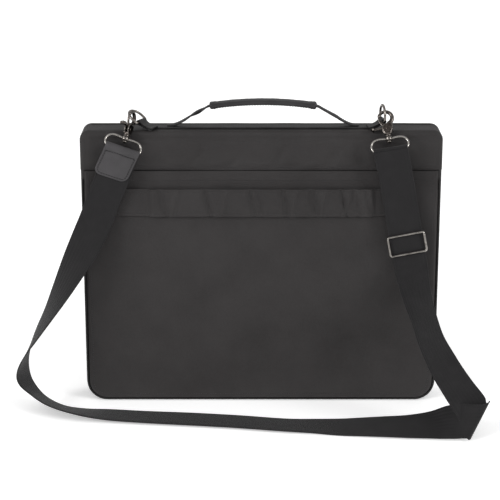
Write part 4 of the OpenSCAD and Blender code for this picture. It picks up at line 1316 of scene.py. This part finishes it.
def ribbon_section(count=24):
    """Half of the webbing's section as places across and shares of its half thickness: a full
    selvage, a groove beside it and a faint crown."""
    across = np.concatenate([[-1, -0.985, -0.95, -0.915, -0.885, -0.86], np.linspace(-0.8, 0.8, count - 12),
                             [0.86, 0.885, 0.915, 0.95, 0.985, 1]])
    high = 0.86 + 0.06 * np.cos(across * math.pi / 2)
    high += 0.16 * hump(np.abs(across), 0.95, 0.03) - 0.3 * hump(np.abs(across), 0.885, 0.018)
    high[[0, -1]] = 0.45
    return across, high


def make_ribbon(name, route, steps, replaces):
    rows = catmull(route, steps)
    middle = rows[:, :3]
    across = unit_rows(rows[:, 3:])
    ahead = unit_rows(np.gradient(middle, axis=0))
    square = np.linalg.norm(np.cross(ahead, across), axis=1)
    half = STRAP_W / 2 / np.maximum(0.8, square)
    normal = unit_rows(np.cross(ahead, across))
    place, high = ribbon_section()
    run = run_along(middle)
    rings, where = [], []
    for p, a, n, h, s in zip(middle, across, normal, half, run):
        top = p + np.outer(place * h, a) + np.outer(high * STRAP_T / 2, n)
        low = p + np.outer(place[::-1] * h, a) - np.outer(high[::-1] * STRAP_T / 2, n)
        rings.append(np.concatenate([top, low]))
        where += [(q * STRAP_W / 2, s, 0) for q in np.concatenate([place, place[::-1]])]
    obj = piece(name, *loft(rings), WEBBING, "case", replaces)
    attribute = obj.data.attributes.new("route_place", "FLOAT_VECTOR", "POINT")
    attribute.data.foreach_set("vector", (np.array(where, np.float32) * MM).reshape(-1))
    return obj, middle * MM, run[-1] * MM


STRAP, STRAP_PATH, STRAP_LENGTH = make_ribbon("webbing_strap", ROUTE, 8, ["shoulder_strap"])
FOLD = make_ribbon("webbing_fold", BACK_LAYER, 8, ["strap_fold"])[0]


# ---------------------------------------------------------------- carried-over metal and boards
def finish_node(node, material):
    mesh = frame["nodes"][node].data
    mesh.materials.clear()
    mesh.materials.append(material)


finish_node("strap_slider", BRIGHT_NICKEL)
for name in ("zip_slider_left", "zip_slider_right", "zip_pull_left", "zip_pull_right"):
    finish_node(name, ZIP_METAL)
for name in ("rear_board", "front_board", "spine_board"):
    finish_node(name, BOARD)


# ---------------------------------------------------------------- floor and light
def make_floor():
    size = 12.0
    corners = [(-size, -size, 0), (size, -size, 0), (size, size, 0), (-size, size, 0)]
    mesh = bpy.data.meshes.new("floor")
    mesh.from_pydata(corners, [], [(0, 1, 2, 3)])
    floor = bpy.data.objects.new("floor", mesh)
    bpy.context.scene.collection.objects.link(floor)
    paper = Nodes("pale_floor", srgb(246, 246, 246), 0.85, specular=0.1, **{"Emission Strength": 0.32})
    mesh.materials.append(paper.material)


def soft_sun(name, direction, strength, spread):
    """Even studio light from a direction, as soft as a wide screen spread over that many degrees."""
    light = bpy.data.lights.new(name, "SUN")
    light.energy, light.angle = strength, math.radians(spread)
    obj = bpy.data.objects.new(name, light)
    obj.rotation_euler = Vector(direction).to_track_quat("Z", "Y").to_euler()
    bpy.context.scene.collection.objects.link(obj)


DOME = ((0.0, 0.08), (0.1, 0.11), (0.3, 0.42), (0.55, 1.0), (1.0, 0.55))


def make_dome():
    """World light that is dim along the horizon and bright overhead, like soft boxes in a dark room."""
    world = bpy.data.worlds.new("studio")
    world.use_nodes = True
    tree = world.node_tree
    place = tree.nodes.new("ShaderNodeTexCoord")
    split = tree.nodes.new("ShaderNodeSeparateXYZ")
    ramp = tree.nodes.new("ShaderNodeValToRGB")
    stops = ramp.color_ramp.elements
    while len(stops) < len(DOME):
        stops.new(0.5)
    for stop, (height, value) in zip(stops, DOME):
        stop.position, stop.color = height, (value, value, value, 1)
    tree.links.new(place.outputs["Generated"], split.inputs[0])
    tree.links.new(split.outputs["Z"], ramp.inputs[0])
    tree.links.new(ramp.outputs["Color"], tree.nodes["Background"].inputs["Color"])
    tree.nodes["Background"].inputs["Strength"].default_value = 1.0
    bpy.context.scene.world = world


def make_light():
    make_dome()
    soft_sun("sun_left", (-1.7, -1.2, 0.75), 1.7, 22)
    soft_sun("sun_right", (1.7, -1.1, 0.75), 1.4, 22)
    bpy.context.scene.view_settings.view_transform = "Standard"


make_floor()
make_light()
